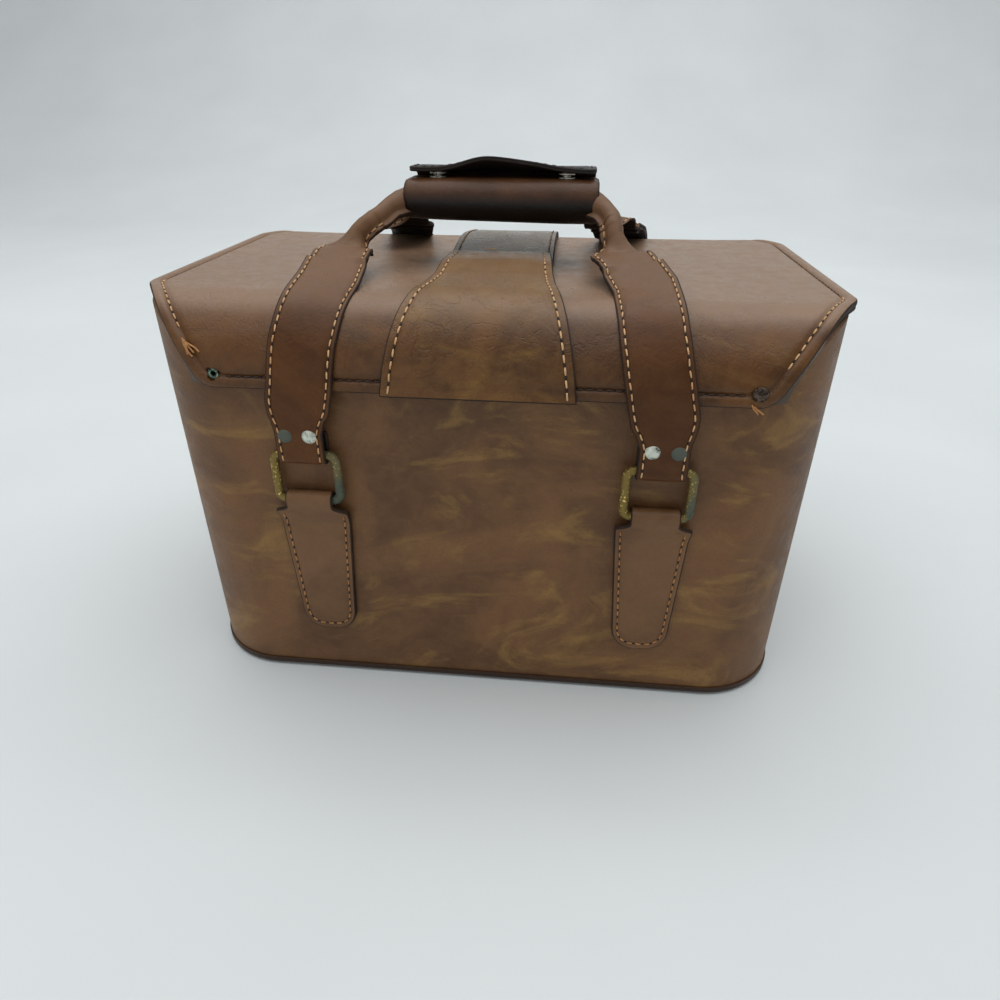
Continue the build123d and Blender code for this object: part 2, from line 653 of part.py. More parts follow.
# Bell band: wide at the hinge edge, narrow on top, sewn over the closure strap's root
with BuildPart() as bell_band:
    extrude(bell_side(), amount=BELL_CLEAR, both=True)
    with BuildSketch(Plane.XZ):
        with BuildLine():
            flare = Spline((BELL_FOOT, LID_FOOT), *BELL_FLARE)
            Polyline(flare @ 1, (BELL_CLEAR, (flare @ 1).Y), (BELL_CLEAR, GRIP_Z), (0, GRIP_Z))
            Line((0, LID_FOOT), flare @ 0)
            mirror(about=Plane.YZ)
        make_face()
    extrude(amount=LID_WIDTH, both=True, mode=Mode.INTERSECT)
    with BuildSketch():
        with BuildLine():
            taper = Spline(BELL_TAPER, tangents=((-0.3, 1), (-0.05, 1)))
            front = (taper @ 0).Y - BELL_CLEAR
            Polyline(taper @ 0, (BELL_CLEAR, (taper @ 0).Y), (BELL_CLEAR, front), (0, front))
            nose = TangentArc(taper @ 1, (BELL_NOSE, BELL_END_Y), tangent=taper % 1)
            Line(nose @ 1, (0, BELL_END_Y))
            mirror(about=Plane.YZ)
        make_face()
    extrude(amount=GRIP_Z, mode=Mode.INTERSECT)
save(bell_band, "bell_band")


# Closure strap: from under the bell, over the far roll and down to the lock
CLOSURE_IN = LID_ROLL + STRAP_GAP
with BuildPart() as closure_strap:
    with BuildSketch(Plane.YZ):
        with BuildLine():
            for radius in (CLOSURE_IN, CLOSURE_IN + CLOSURE_THICK):
                flat = Line((CLOSURE_ROOT_Y, LID_FOOT + radius), (ROLL_Y, LID_FOOT + radius))
                over = CenterArc((ROLL_Y, LID_FOOT), radius, 90, -90)
                Line(over @ 1, (ROLL_Y + radius, CLOSURE_END_Z))
            Line(
                (CLOSURE_ROOT_Y, LID_FOOT + CLOSURE_IN),
                (CLOSURE_ROOT_Y, LID_FOOT + CLOSURE_IN + CLOSURE_THICK),
            )
            Line(
                (ROLL_Y + CLOSURE_IN, CLOSURE_END_Z),
                (ROLL_Y + CLOSURE_IN + CLOSURE_THICK, CLOSURE_END_Z),
            )
        make_face()
    extrude(amount=CLOSURE_HALF, both=True)
    with BuildSketch(Plane.XZ):
        with BuildLine():
            tip = Polyline((0, CLOSURE_END_Z), *CLOSURE_TIP)
            Polyline(tip @ 1, (CLOSURE_HALF, LID_TOP - 10), (CLOSURE_HALF, GRIP_Z), (0, GRIP_Z))
            mirror(about=Plane.YZ)
        make_face()
    extrude(amount=LID_WIDTH, both=True, mode=Mode.INTERSECT)

FAR_FACE = BODY_DEPTH / 2
CLOSURE_BACK = ROLL_Y + CLOSURE_IN
TONGUE_OUT = CLOSURE_BACK - 0.1
TONGUE_BACK = TONGUE_OUT - TONGUE_THICK
with BuildPart() as closure_rivets:
    for rivet_x in (-CLOSURE_RIVET_X, CLOSURE_RIVET_X):
        with Locations((rivet_x, CLOSURE_BACK, CLOSURE_RIVET_Z)):
            Cylinder(CORNER_RIVET_SHANK, CLOSURE_THICK, rotation=(-90, 0, 0), align=STANDING)
        with Locations((rivet_x, CLOSURE_BACK + CLOSURE_THICK, CLOSURE_RIVET_Z)):
            Cylinder(CORNER_RIVET_HEAD, HEAD_HEIGHT, rotation=(-90, 0, 0), align=STANDING)
    fillet(closure_rivets.edges().group_by(Axis.Y)[-1], HEAD_EDGE)
save(closure_rivets, "closure_rivets")

with BuildPart() as closure_strap_drilled:
    add(closure_strap.part)
    add(closure_rivets.part, mode=Mode.SUBTRACT)
save(closure_strap_drilled, "closure_strap")

# Brass tongue behind the closure's end, cranked inward to meet the lock
with BuildPart() as lock_tongue:
    with BuildSketch(Plane.YZ):
        with BuildLine():
            Polyline(
                (TONGUE_OUT, TONGUE_TOP_Z),
                (TONGUE_OUT, LUG_Z),
                (TONGUE_OUT - TONGUE_CRANK, LUG_Z - 1.5),
                (TONGUE_OUT - TONGUE_CRANK, TONGUE_END_Z),
                (TONGUE_BACK - TONGUE_CRANK, TONGUE_END_Z),
                (TONGUE_BACK - TONGUE_CRANK, LUG_Z + 0.5),
                (TONGUE_BACK, LUG_Z + 2),
                (TONGUE_BACK, TONGUE_TOP_Z),
                close=True,
            )
        make_face()
    extrude(amount=TONGUE_HALF, both=True)
    with BuildSketch(Plane.XZ):
        with BuildLine():
            shoulder = Polyline(
                (0, TONGUE_TOP_Z),
                (TONGUE_HALF, TONGUE_TOP_Z),
                (TONGUE_HALF, LUG_Z + 1.5),
                (LUG_HALF, LUG_Z + 1.5),
            )
            tip_z = TONGUE_END_Z + LUG_HALF - LUG_TIP
            Polyline(shoulder @ 1, (LUG_HALF, tip_z), (LUG_TIP, TONGUE_END_Z), (0, TONGUE_END_Z))
            mirror(about=Plane.YZ)
        make_face()
    extrude(amount=LID_WIDTH, both=True, mode=Mode.INTERSECT)
save(lock_tongue, "lock_tongue")

# Tuck lock: a brass case with a slot on top and a thumb slide in front
LOCK_BACK = FAR_FACE + LOCK_PLATE
LOCK_FRONT = FAR_FACE + LOCK_DEPTH
LOCK_MIDDLE = (0, FAR_FACE, (LOCK_LOW + LOCK_TOP) / 2)
LOCK_HOLLOW = LOCK_DEPTH - 2 * LOCK_PLATE
LOCK_FLOOR = LOCK_LOW + 3.0
with BuildPart() as lock_case:
    with BuildSketch(Plane(origin=LOCK_MIDDLE, x_dir=(1, 0, 0), z_dir=(0, 1, 0))):
        RectangleRounded(2 * LOCK_HALF, LOCK_TOP - LOCK_LOW, LOCK_CORNER)
    extrude(amount=LOCK_DEPTH)
    fillet(lock_case.faces().sort_by(Axis.Y)[-1].edges(), LOCK_PLATE)
    with BuildSketch(Plane.XY.offset(LOCK_FLOOR)):
        with Locations((0, LOCK_BACK)):
            Rectangle(2 * LOCK_HOLLOW_HALF, LOCK_HOLLOW, align=(Align.CENTER, Align.MIN))
    extrude(amount=LOCK_TOP - LOCK_LOW - 6, mode=Mode.SUBTRACT)
    with BuildSketch(Plane.XY.offset(LOCK_LOW + 10)):
        with Locations((0, LOCK_BACK)):
            Rectangle(2 * LOCK_MOUTH_HALF, LOCK_HOLLOW, align=(Align.CENTER, Align.MIN))
    extrude(amount=LOCK_TOP - LOCK_LOW, mode=Mode.SUBTRACT)
    with BuildSketch(Plane.XY.offset(LOCK_LOW + 6)):
        with Locations((LOCK_SLOT_X, LOCK_FRONT)):
            Rectangle(LOCK_SLOT[0], 4, align=(Align.CENTER, Align.CENTER))
    extrude(amount=LOCK_SLOT[1], mode=Mode.SUBTRACT)
save(lock_case, "lock_case")

with BuildPart() as lock_slide:
    with BuildSketch(Plane.XY.offset(LOCK_FLOOR + 0.3)):
        with Locations((0, LOCK_BACK + 0.2)):
            Rectangle(SLIDE[0], SLIDE[1], align=(Align.CENTER, Align.MIN))
    extrude(amount=SLIDE[2])
    with BuildSketch(Plane.XY.offset(LOCK_LOW + 6.4)):
        with Locations((0, LOCK_FRONT - 2 * LOCK_PLATE)):
            Rectangle(THUMB[0], THUMB[1], align=(Align.CENTER, Align.MIN))
    extrude(amount=THUMB[2])
    fillet(lock_slide.faces().sort_by(Axis.Y)[-1].edges(), 0.8)
save(lock_slide, "lock_slide")

# Leaf spring, folded between the slide and the end of the case
with BuildPart() as lock_spring:
    with BuildSketch(Plane.XY.offset(LOCK_LOW + 5)):
        with BuildLine():
            folds = [FAR_FACE + 1.9, FAR_FACE + 5.9]
            leaf = Polyline([(x, folds[i % 2]) for i, x in enumerate(SPRING_LEAF)])
            offset(leaf, amount=0.2, side=Side.BOTH)
        make_face()
    extrude(amount=SPRING_HEIGHT)
save(lock_spring, "lock_spring")

print("hinge y and z:", round(HINGE_Y, 3), HINGE_Z, "strap front:", round(STRAP_FRONT, 3))
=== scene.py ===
"""Looks for the hard camera case: stitched leather, brass, lining, floor, light and camera."""
import math

import bmesh
import bpy
import numpy as np
from mathutils import Matrix, Vector


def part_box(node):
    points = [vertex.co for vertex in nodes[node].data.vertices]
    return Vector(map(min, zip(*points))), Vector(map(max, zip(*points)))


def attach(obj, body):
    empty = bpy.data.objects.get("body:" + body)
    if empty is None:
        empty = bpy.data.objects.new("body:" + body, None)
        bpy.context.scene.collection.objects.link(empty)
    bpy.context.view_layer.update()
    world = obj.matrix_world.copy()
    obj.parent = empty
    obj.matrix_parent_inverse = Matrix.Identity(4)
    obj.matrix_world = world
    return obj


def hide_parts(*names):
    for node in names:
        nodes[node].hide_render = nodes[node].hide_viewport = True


MM = 0.001
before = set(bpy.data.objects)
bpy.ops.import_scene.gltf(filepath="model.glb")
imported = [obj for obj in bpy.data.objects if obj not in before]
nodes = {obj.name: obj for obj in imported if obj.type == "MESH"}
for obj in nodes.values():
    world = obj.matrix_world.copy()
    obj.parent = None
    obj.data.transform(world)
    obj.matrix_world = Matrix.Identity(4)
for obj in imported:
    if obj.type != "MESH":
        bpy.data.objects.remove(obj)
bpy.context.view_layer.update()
rng = np.random.default_rng(7)

# Camera, as fitted to the photograph
CAMERA_PLACE = (0.0386, -0.3954, 0.2836)
CAMERA_PITCH = 0.522241
CAMERA_YAW = 0.100426
CAMERA_ROLL = 0.002142
CAMERA_LENS = 25.19

camera_data = bpy.data.cameras.new("camera")
camera_data.sensor_width = 36.0
camera_data.lens = CAMERA_LENS
camera = bpy.data.objects.new("camera", camera_data)
bpy.context.scene.collection.objects.link(camera)
level_right = Vector((math.cos(CAMERA_YAW), math.sin(CAMERA_YAW), 0.0))
level_ahead = Vector((-math.sin(CAMERA_YAW), math.cos(CAMERA_YAW), 0.0))
ahead = level_ahead * math.cos(CAMERA_PITCH) - Vector((0, 0, math.sin(CAMERA_PITCH)))
above = Vector((0, 0, math.cos(CAMERA_PITCH))) + level_ahead * math.sin(CAMERA_PITCH)
right = level_right * math.cos(CAMERA_ROLL) + above * math.sin(CAMERA_ROLL)
above = above * math.cos(CAMERA_ROLL) - level_right * math.sin(CAMERA_ROLL)
turn = Matrix((right, above, -ahead)).transposed()
camera.matrix_world = Matrix.Translation(CAMERA_PLACE) @ turn.to_4x4()
bpy.context.scene.camera = camera

# Sizes read from the frame, in millimetres
lid_low, lid_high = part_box("lid_cover")
body_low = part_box("body_cover")[0]
wrap_low, wrap_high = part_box("near_grip_wrap")
LID_HALF = lid_high.x / MM
LID_DEPTH = lid_high.y / MM
LID_TOP = lid_high.z / MM
LID_FOOT = lid_low.z / MM
ROLL = LID_TOP - LID_FOOT
ROLL_Y = LID_DEPTH - ROLL
QUARTER = ROLL * math.pi / 2
LID_SPAN = 2 * QUARTER + 2 * ROLL_Y
GRIP_HALF = wrap_high.x / MM
GRIP_Z = (wrap_high.z + wrap_low.z) / 2 / MM
WRAP_OUTER = (wrap_high.z - wrap_low.z) / 2 / MM
TUBE_Y = -wrap_low.y / MM - WRAP_OUTER
LIP_PROUD = 0.8
NEAR_FACE = body_low.y / MM + LIP_PROUD


# Materials
def linear(colour):
    """Linear colour from the red, green and blue that a screen shows, each from 0 to 255."""
    parts = [(c / 255 + 0.055) / 1.055 if c > 10 else c / 255 / 12.92 for c in colour]
    return tuple(p**2.4 if c > 10 else p for p, c in zip(parts, colour)) + (1.0,)


class Nodes:
    """Adds and joins the shader nodes of one material or world."""

    def __init__(self, owner):
        owner.use_nodes = True
        self.tree = owner.node_tree

    def put(self, kind, **values):
        """New node, with values for its sockets and settings."""
        node = self.tree.nodes.new(kind)
        for key, value in values.items():
            if key in node.inputs:
                node.inputs[key].default_value = value
            else:
                setattr(node, key, value)
        return node

    def join(self, source, target):
        """Join two sockets, or set the second one where the first is a plain value."""
        if isinstance(source, (int, float, tuple)):
            target.default_value = source
        else:
            self.tree.links.new(source, target)

    def axis(self, place, name):
        """One part of a place."""
        parts = self.put("ShaderNodeSeparateXYZ")
        self.join(place, parts.inputs[0])
        return parts.outputs[name]

    def maths(self, operation, *values):
        """One arithmetic node on sockets or numbers."""
        node = self.put("ShaderNodeMath", operation=operation)
        for socket, value in zip(node.inputs, values):
            self.join(value, socket)
        return node.outputs[0]

    def mixed(self, factor, first, second):
        """Colour mix by a factor; plain colours are red, green and blue from 0 to 255."""
        node = self.put("ShaderNodeMix", data_type="RGBA")
        for index, value in ((0, factor), (6, first), (7, second)):
            self.join(linear(value) if isinstance(value, tuple) else value, node.inputs[index])
        return node.outputs[2]

    def washed(self, colour, factor, strength, other):
        """Colour with another one laid over it."""
        return self.mixed(self.maths("MULTIPLY", factor, strength), colour, other)

    def noise(self, place, scale, detail, roughness, distortion=0.0, stretch=(1, 1, 1)):
        """Noise value on stretched coordinates."""
        mapping = self.put("ShaderNodeMapping", Scale=stretch)
        self.join(place, mapping.inputs["Vector"])
        node = self.put(
            "ShaderNodeTexNoise", Scale=scale, Detail=detail, Roughness=roughness, Distortion=distortion
        )
        self.join(mapping.outputs[0], node.inputs["Vector"])
        return node.outputs["Fac"]

    def cells(self, place, scale):
        """Distance to the nearest of many scattered points."""
        node = self.put("ShaderNodeTexVoronoi", feature="F1", Scale=scale)
        self.join(place, node.inputs["Vector"])
        return node.outputs["Distance"]

    def ramp(self, value, low, high):
        """Smooth step of a value between two levels."""
        levels = {"From Min": low, "From Max": high}
        node = self.put("ShaderNodeMapRange", interpolation_type="SMOOTHSTEP", **levels)
        self.join(value, node.inputs["Value"])
        return node.outputs[0]

    def spread(self, value, low, high):
        """A value from 0 to 1, spread between two levels."""
        node = self.put("ShaderNodeMapRange", **{"To Min": low, "To Max": high})
        self.join(value, node.inputs["Value"])
        return node.outputs[0]

    def bump(self, height, strength, distance, below=None, invert=False):
        """Bump from a height value, over another bump."""
        node = self.put("ShaderNodeBump", Strength=strength, Distance=distance, invert=invert)
        self.join(height, node.inputs["Height"])
        if below is not None:
            self.join(below, node.inputs["Normal"])
        return node.outputs[0]


def fresh_material(name, colour, roughness, metallic=0.0):
    """Material with one plain shader: its sockets, the tools to add nodes, and the object's coordinates."""
    material = bpy.data.materials.new(name)
    tools = Nodes(material)
    sockets = material.node_tree.nodes["Principled BSDF"].inputs
    for key, value in (("Base Color", linear(colour)), ("Roughness", roughness), ("Metallic", metallic)):
        sockets[key].default_value = value
    return material, sockets, tools, tools.put("ShaderNodeTexCoord").outputs["Object"]


def leather(name, base, dark, pale, patch=0.0, gold=(118, 92, 52), rough=0.5, grain=1.0, crease=1.0,
            streak=(1.0, 1.0, 1.25), mottle=14.0, spec=0.3, painted_light_by_height=None):
    """Worn leatherette: mottled and rubbed, with grain and soft creases darkened as painted shade; a height
    band can lay painted light over it: a paler top as painted sheen or a dark low part as painted shade.
    """
    material, sockets, tools, place = fresh_material(name, base, rough)
    sockets["Specular IOR Level"].default_value = spec
    cloud = tools.ramp(tools.noise(place, mottle, 6, 0.6, 1.0, streak), 0.36, 0.66)
    fine = tools.ramp(tools.noise(place, mottle * 7, 5, 0.65, 0.4, streak), 0.3, 0.75)
    colour = tools.washed(tools.mixed(cloud, dark, base), fine, 0.34, pale)
    if patch:
        rubbed = tools.ramp(tools.noise(place, 17, 7, 0.62, 2.0, (0.75, 0.75, 1.6)), 0.5, 0.7)
        colour = tools.washed(colour, rubbed, patch, gold)
    colour = tools.washed(colour, tools.ramp(tools.noise(place, 900, 3, 0.6), 0.35, 0.7), 0.2, dark)

    fold = None
    for scale, wide, part in ((46, 0.022, 0.5), (105, 0.03, 0.44)):
        wander = tools.maths("SUBTRACT", tools.noise(place, scale, 3, 0.55, 0.9, streak), part)
        line = tools.ramp(tools.maths("ABSOLUTE", wander), wide, 0.0)
        where = tools.ramp(tools.noise(place, scale * 0.45, 3, 0.5), 0.42, 0.64)
        line = tools.maths("MULTIPLY", line, where)
        fold = line if fold is None else tools.maths("MAXIMUM", fold, line)
    # The crease lines darken the colour: painted shade in the creases.
    colour = tools.washed(colour, fold, 0.3 * crease, dark)
    # Height band of painted light: between the two heights the colour turns towards the given one, paler on
    # tops as painted sheen or dark low down as painted shade.
    if painted_light_by_height:
        first, last, other, strength = painted_light_by_height
        share = tools.ramp(tools.axis(place, "Z"), first * MM, last * MM)
        colour = tools.washed(colour, share, strength, other)
    tools.join(colour, sockets["Base Color"])

    pebbles = tools.maths("MULTIPLY_ADD", tools.cells(place, 820.0), 0.8, tools.noise(place, 2100, 2, 0.5))
    relief = tools.bump(pebbles, 0.26 * grain, 0.0004)
    relief = tools.bump(fold, 0.4 * crease, 0.0006, relief, invert=True)
    relief = tools.bump(tools.noise(place, 60, 4, 0.55, 0.3, streak), 0.35, 0.0016, relief)
    tools.join(relief, sockets["Normal"])
    tools.join(tools.spread(fine, rough - 0.07, rough + 0.12), sockets["Roughness"])
    return material


# Body leather: below 6.4 mm its colour turns dark brown, fully so below 4.6 mm, a painted shade along the
# bottom edge next to the floor.
BODY_LEATHER = leather(
    "body_leather", (116, 80, 48), (86, 57, 32), (132, 98, 64), 0.7, (146, 112, 60), rough=0.46, crease=0.5,
    painted_light_by_height=(6.4, 4.6, (50, 32, 20), 1.0),
)
# Lid leather: paler from high on the near roll up over the flat top, a painted sheen of the light from above.
LID_LEATHER = leather(
    "lid_leather", (97, 60, 24), (70, 41, 14), (116, 80, 42), 0.3, (122, 88, 42), rough=0.34, crease=0.6,
    streak=(1.0, 1.0, 1.0), mottle=18.0,
    painted_light_by_height=(LID_FOOT + 0.78 * ROLL, LID_FOOT + 1.02 * ROLL, (155, 128, 106), 0.66),
)
# Bell leather: paler on its upper part over the roll and the top, a painted sheen of the light from above.
BELL_LEATHER = leather(
    "bell_leather", (104, 68, 33), (74, 46, 20), (120, 87, 50), 0.6, (132, 99, 46), rough=0.34, crease=0.9,
    mottle=20.0, spec=0.25,
    painted_light_by_height=(LID_FOOT + 0.72 * ROLL, LID_FOOT + 1.05 * ROLL, (146, 118, 88), 0.45),
)
# Strap leather: paler where the straps rise over the top of the lid, a painted sheen of the light from above.
STRAP_LEATHER = leather(
    "strap_leather", (93, 54, 20), (70, 39, 13), (107, 70, 35), 0.15, (112, 76, 38), rough=0.38, grain=0.8,
    crease=0.6, spec=0.2,
    painted_light_by_height=(LID_FOOT + 0.8 * ROLL, LID_FOOT + 1.2 * ROLL, (140, 112, 88), 0.4),
)
CHAPE_LEATHER = leather(
    "chape_leather", (116, 82, 53), (94, 64, 38), (132, 100, 70), 0.2, (132, 98, 56), rough=0.46, grain=0.7,
    crease=0.2,
)
# Grip leather: nearly black below the grip's middle, a painted shade on its underside.
GRIP_LEATHER = leather(
    "grip_leather", (84, 52, 28), (60, 36, 19), (100, 68, 42), rough=0.4, grain=0.7, crease=0.3,
    painted_light_by_height=(GRIP_Z + 5.5, GRIP_Z - 2.5, (9, 5, 3), 1.0),
)
FLAP_LEATHER = leather(
    "flap_top_leather", (30, 21, 14), (20, 14, 9), (44, 32, 23), rough=0.44, grain=0.7, crease=0.3
)
# Cut edges and sides of the leather panels: a dark edge colour of their own, made darker still as a painted
# contact shadow round the panels.
EDGE_LEATHER_AND_SHADE = leather(
    "edge_leather_and_painted_shade", (50, 33, 20), (30, 19, 12), (74, 53, 35), rough=0.7, grain=0.6, crease=0.0
)
# Closure strap leather: its pale grey-brown base is partly its own colour and partly a painted sheen; its
# gloss comes from the low roughness.
CLOSURE_LEATHER_AND_SHEEN = leather(
    "closure_leather", (100, 80, 58), (70, 53, 36), (126, 108, 86), 0.1, rough=0.28, crease=0.6, spec=0.6
)
BLACK_LEATHER = leather(
    "lining_leather", (30, 21, 14), (18, 12, 8), (42, 31, 22), rough=0.55, grain=0.8, crease=0.2
)
BASE_DARK = leather("base_dark", (38, 28, 20), (22, 16, 11), (52, 40, 30), rough=0.65, grain=1.2, crease=0.0)


def thread(name, colour, shade):
    """Twisted sewing thread."""
    material, sockets, tools, place = fresh_material(name, colour, 0.62)
    bands = {"wave_type": "BANDS", "bands_direction": "DIAGONAL", "Scale": 700.0, "Distortion": 0.6}
    lay = tools.put("ShaderNodeTexWave", **bands)
    tools.join(place, lay.inputs["Vector"])
    worn = tools.ramp(tools.noise(place, 160, 3, 0.6), 0.35, 0.7)
    tint = tools.washed(tools.washed(colour, worn, 0.7, shade), lay.outputs["Fac"], 0.25, shade)
    tools.join(tint, sockets["Base Color"])
    tools.join(tools.bump(lay.outputs["Fac"], 0.5, 0.0002), sockets["Normal"])
    return material


PALE_THREAD = thread("pale_thread", (222, 184, 136), (174, 128, 82))
ORANGE_THREAD = thread("orange_thread", (192, 136, 78), (140, 92, 48))
DULL_THREAD = thread("dull_thread", (140, 104, 68), (98, 68, 40))
DARK_THREAD = thread("dark_thread", (66, 42, 30), (40, 24, 17))
# Near-black colour for the needle holes: painted shade in the holes.
PAINTED_HOLE_SHADE = thread("needle_holes", (26, 15, 9), (16, 9, 6))


def old_brass(name, patina_from, patina_to, above_share=0.0):
    """Pitted brass that turns green and black towards one side of the ring, and more so low down."""
    material, sockets, tools, place = fresh_material(name, (232, 196, 96), 0.3, 1.0)
    eaten = tools.noise(place, 320, 5, 0.7)
    pits = tools.maths("ADD", tools.maths("MULTIPLY", eaten, 0.8), tools.cells(place, 620.0))
    spots = tools.ramp(pits, 0.5, 0.78)
    low = tools.ramp(tools.axis(place, "Z"), 0.130, 0.120)
    low = tools.maths("MULTIPLY_ADD", low, 1.0 - above_share, 0.5)
    side = tools.maths("MULTIPLY", tools.ramp(tools.axis(place, "X"), patina_from, patina_to), low)
    tone = tools.mixed(tools.noise(place, 90, 4, 0.6), (224, 184, 84), (255, 236, 150))
    pitted = tools.washed(tone, spots, 0.8, (64, 46, 20))
    green = tools.mixed(eaten, (34, 38, 30), (96, 104, 84))
    tools.join(tools.mixed(side, pitted, green), sockets["Base Color"])
    bare = tools.maths("SUBTRACT", 1.0, side)
    tools.join(tools.maths("MULTIPLY", bare, 0.75), sockets["Metallic"])
    cover = tools.maths("MAXIMUM", tools.maths("MULTIPLY", spots, 0.55), side)
    tools.join(tools.spread(cover, 0.24, 0.75), sockets["Roughness"])
    tools.join(tools.bump(spots, 0.8, 0.0005, invert=True), sockets["Normal"])
    return material


def rivet_metal(name, pale, dark, level, split=None):
    """Plated rivet with corroded blotches; beyond the split width the corrosion covers it."""
    material, sockets, tools, place = fresh_material(name, pale, 0.42, 0.75)
    blotch = tools.ramp(tools.noise(place, 420, 5, 0.7, 0.8), level - 0.1, level + 0.1)
    if split:
        width = tools.maths("ABSOLUTE", tools.axis(place, "X"))
        beyond = tools.ramp(width, split - 0.0002, split + 0.0002)
        blotch = tools.maths("MAXIMUM", blotch, tools.maths("MULTIPLY", beyond, 0.85))
    tools.join(tools.mixed(blotch, pale, dark), sockets["Base Color"])
    tools.join(tools.spread(blotch, 0.3, 0.7), sockets["Roughness"])
    tools.join(tools.bump(blotch, 0.6, 0.0003, invert=True), sockets["Normal"])
    return material


BRIGHT_RIVET = rivet_metal("bright_rivet", (206, 204, 192), (106, 116, 98), 0.56)
GREEN_RIVET = rivet_metal("green_rivet", (128, 150, 130), (40, 50, 40), 0.48)
STRAP_RIVET = rivet_metal("strap_rivet", (206, 210, 196), (44, 54, 42), 0.6, 0.083)
DARK_RIVET = rivet_metal("dark_rivet", (96, 82, 70), (46, 36, 30), 0.5)
SNAP_METAL = rivet_metal("snap_metal", (168, 162, 150), (84, 78, 68), 0.56)
SPRING_STEEL = rivet_metal("spring_steel", (150, 150, 150), (90, 84, 76), 0.62)
BRASS_LEFT = old_brass("brass_left_ring", -0.0745, -0.0715, 0.25)
BRASS_RIGHT = old_brass("brass_right_ring", 0.094, 0.099, 0.1)
BRASS_LOCK = old_brass("brass_lock", 0.4, 0.5)


def velour(name, colour, shade):
    """Short brushed pile."""
    material, sockets, tools, place = fresh_material(name, colour, 0.95)
    nap = tools.ramp(tools.noise(place, 26, 5, 0.6, 0.6), 0.35, 0.68)
    tuft = tools.noise(place, 1500, 2, 0.6)
    tools.join(tools.washed(tools.mixed(nap, shade, colour), tuft, 0.4, shade), sockets["Base Color"])
    sockets["Sheen Weight"].default_value = 0.5
    sockets["Sheen Roughness"].default_value = 0.4
    tools.join(tools.bump(tuft, 0.5, 0.0006), sockets["Normal"])
    return material


VELOUR = velour("velour", (126, 92, 58), (92, 64, 38))
BOARD = velour("grey_board", (96, 84, 70), (74, 64, 52))
CORD = velour("cord", (176, 158, 126), (140, 120, 90))


def dress(material, *names):
    """Give CAD nodes one new material in all their slots."""
    for name in names:
        slots = nodes[name].data.materials
        for index in range(len(slots)):
            slots[index] = material
        if not len(slots):
            slots.append(material)


# Tools for lines and pieces
def linked(name, data):
    """New object in the scene."""
    piece = bpy.data.objects.new(name, data)
    bpy.context.scene.collection.objects.link(piece)
    return piece


def fitted(piece, body, node=None):
    """Let a piece ride on a body, in place of a CAD node."""
    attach(piece, body)
    if node:
        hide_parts(node)
    return piece


def eased(share):
    """Share from 0 to 1 that starts and ends softly."""
    return share * share * (3 - 2 * share)


def arc_length(points):
    """Length from the first point to each point."""
    return np.concatenate(([0], np.cumsum(np.linalg.norm(np.diff(points, axis=0), axis=1))))


def sampled(run, data, s):
    """Values of a dense table at arc lengths s."""
    return np.stack([np.interp(s, run, data[:, k]) for k in range(data.shape[1])], -1)


def inset(points, distance):
    """Flat line moved to its left by a distance."""
    step = np.gradient(points, axis=0)
    inward = np.stack((-step[:, 1], step[:, 0]), 1)
    return points + inward / np.linalg.norm(inward, axis=1)[:, None] * distance


def both_sides(side, distance, rows):
    """Two flat lines, each a distance inside one edge."""
    return [np.array([(sign * (side(s) - distance), s) for s in rows]) for sign in (-1, 1)]


# Leather panels: a flat outline, carried onto the object by a place function
EDGE_IN = 0.7
PLAIN_EDGE = (
    (0.3, 0.05), (0.05, 0.2), (0.0, 0.4), (0.3, 0.5), (0.0, 0.6), (0.05, 0.82), (0.3, 0.96), (0.7, 1.0)
)
LID_EDGE = (
    (0.25, 0.07), (0.0, 0.22), (0.0, 0.42), (0.25, 0.58), (0.6, 0.64), (0.2, 0.72), (0.1, 0.8), (0.3, 0.94),
    (0.7, 1.0),
)


def edge_distance(points, outline):
    """Distance from each flat point to the closed outline."""
    start = outline
    step = np.roll(outline, -1, axis=0) - outline
    length = np.maximum((step**2).sum(1), 1e-9)
    nearest = np.full(len(points), 1e9)
    for a, d, l in zip(start, step, length):
        along = np.clip(((points - a) @ d) / l, 0, 1)
        gap = points - a - along[:, None] * d
        nearest = np.minimum(nearest, (gap**2).sum(1))
    return np.sqrt(nearest)


def spaced(low, high, step, close=(0.7, 1.3, 2.0, 2.7, 3.4, 4.4, 6.0)):
    """Positions from low to high, close together near both ends."""
    near = [low + c for c in close if low + c < (low + high) / 2 - step / 3]
    far = [high - c for c in close if high - c > (low + high) / 2 + step / 3]
    count = max(int((far[-1] - near[-1]) / step), 1)
    middle = np.linspace(near[-1], far[-1], count + 1)[1:-1]
    return np.array(near + list(middle) + far[::-1])


def flat_grid(rows, side, close, count):
    """Flat points of every row, in columns that follow both edges."""
    grid = []
    for s in rows:
        a, b = -side(s), side(s)
        scale = min(1.0, (b - a) / 2 / (close[-1] * 1.25))
        near = [a + c * scale for c in close]
        far = [b - c * scale for c in close][::-1]
        middle = list(np.linspace(near[-1], far[0], count + 2)[1:-1])
        grid.append([(x, s) for x in near + middle + far])
    return np.array(grid)


def mesh_piece(name, points, faces, materials, face_material=None):
    """New object from points in metres, with outward faces and smooth shading."""
    mesh = bpy.data.meshes.new(name)
    mesh.from_pydata([tuple(p) for p in points], [], [tuple(f) for f in faces])
    for material in materials:
        mesh.materials.append(material)
    if face_material is not None:
        mesh.polygons.foreach_set("material_index", face_material)
    work = bmesh.new()
    work.from_mesh(mesh)
    bmesh.ops.remove_doubles(work, verts=work.verts, dist=1e-6)
    bmesh.ops.recalc_face_normals(work, faces=work.faces)
    work.to_mesh(mesh)
    work.free()
    mesh.polygons.foreach_set("use_smooth", [True] * len(mesh.polygons))
    mesh.update()
    return linked(name, mesh)


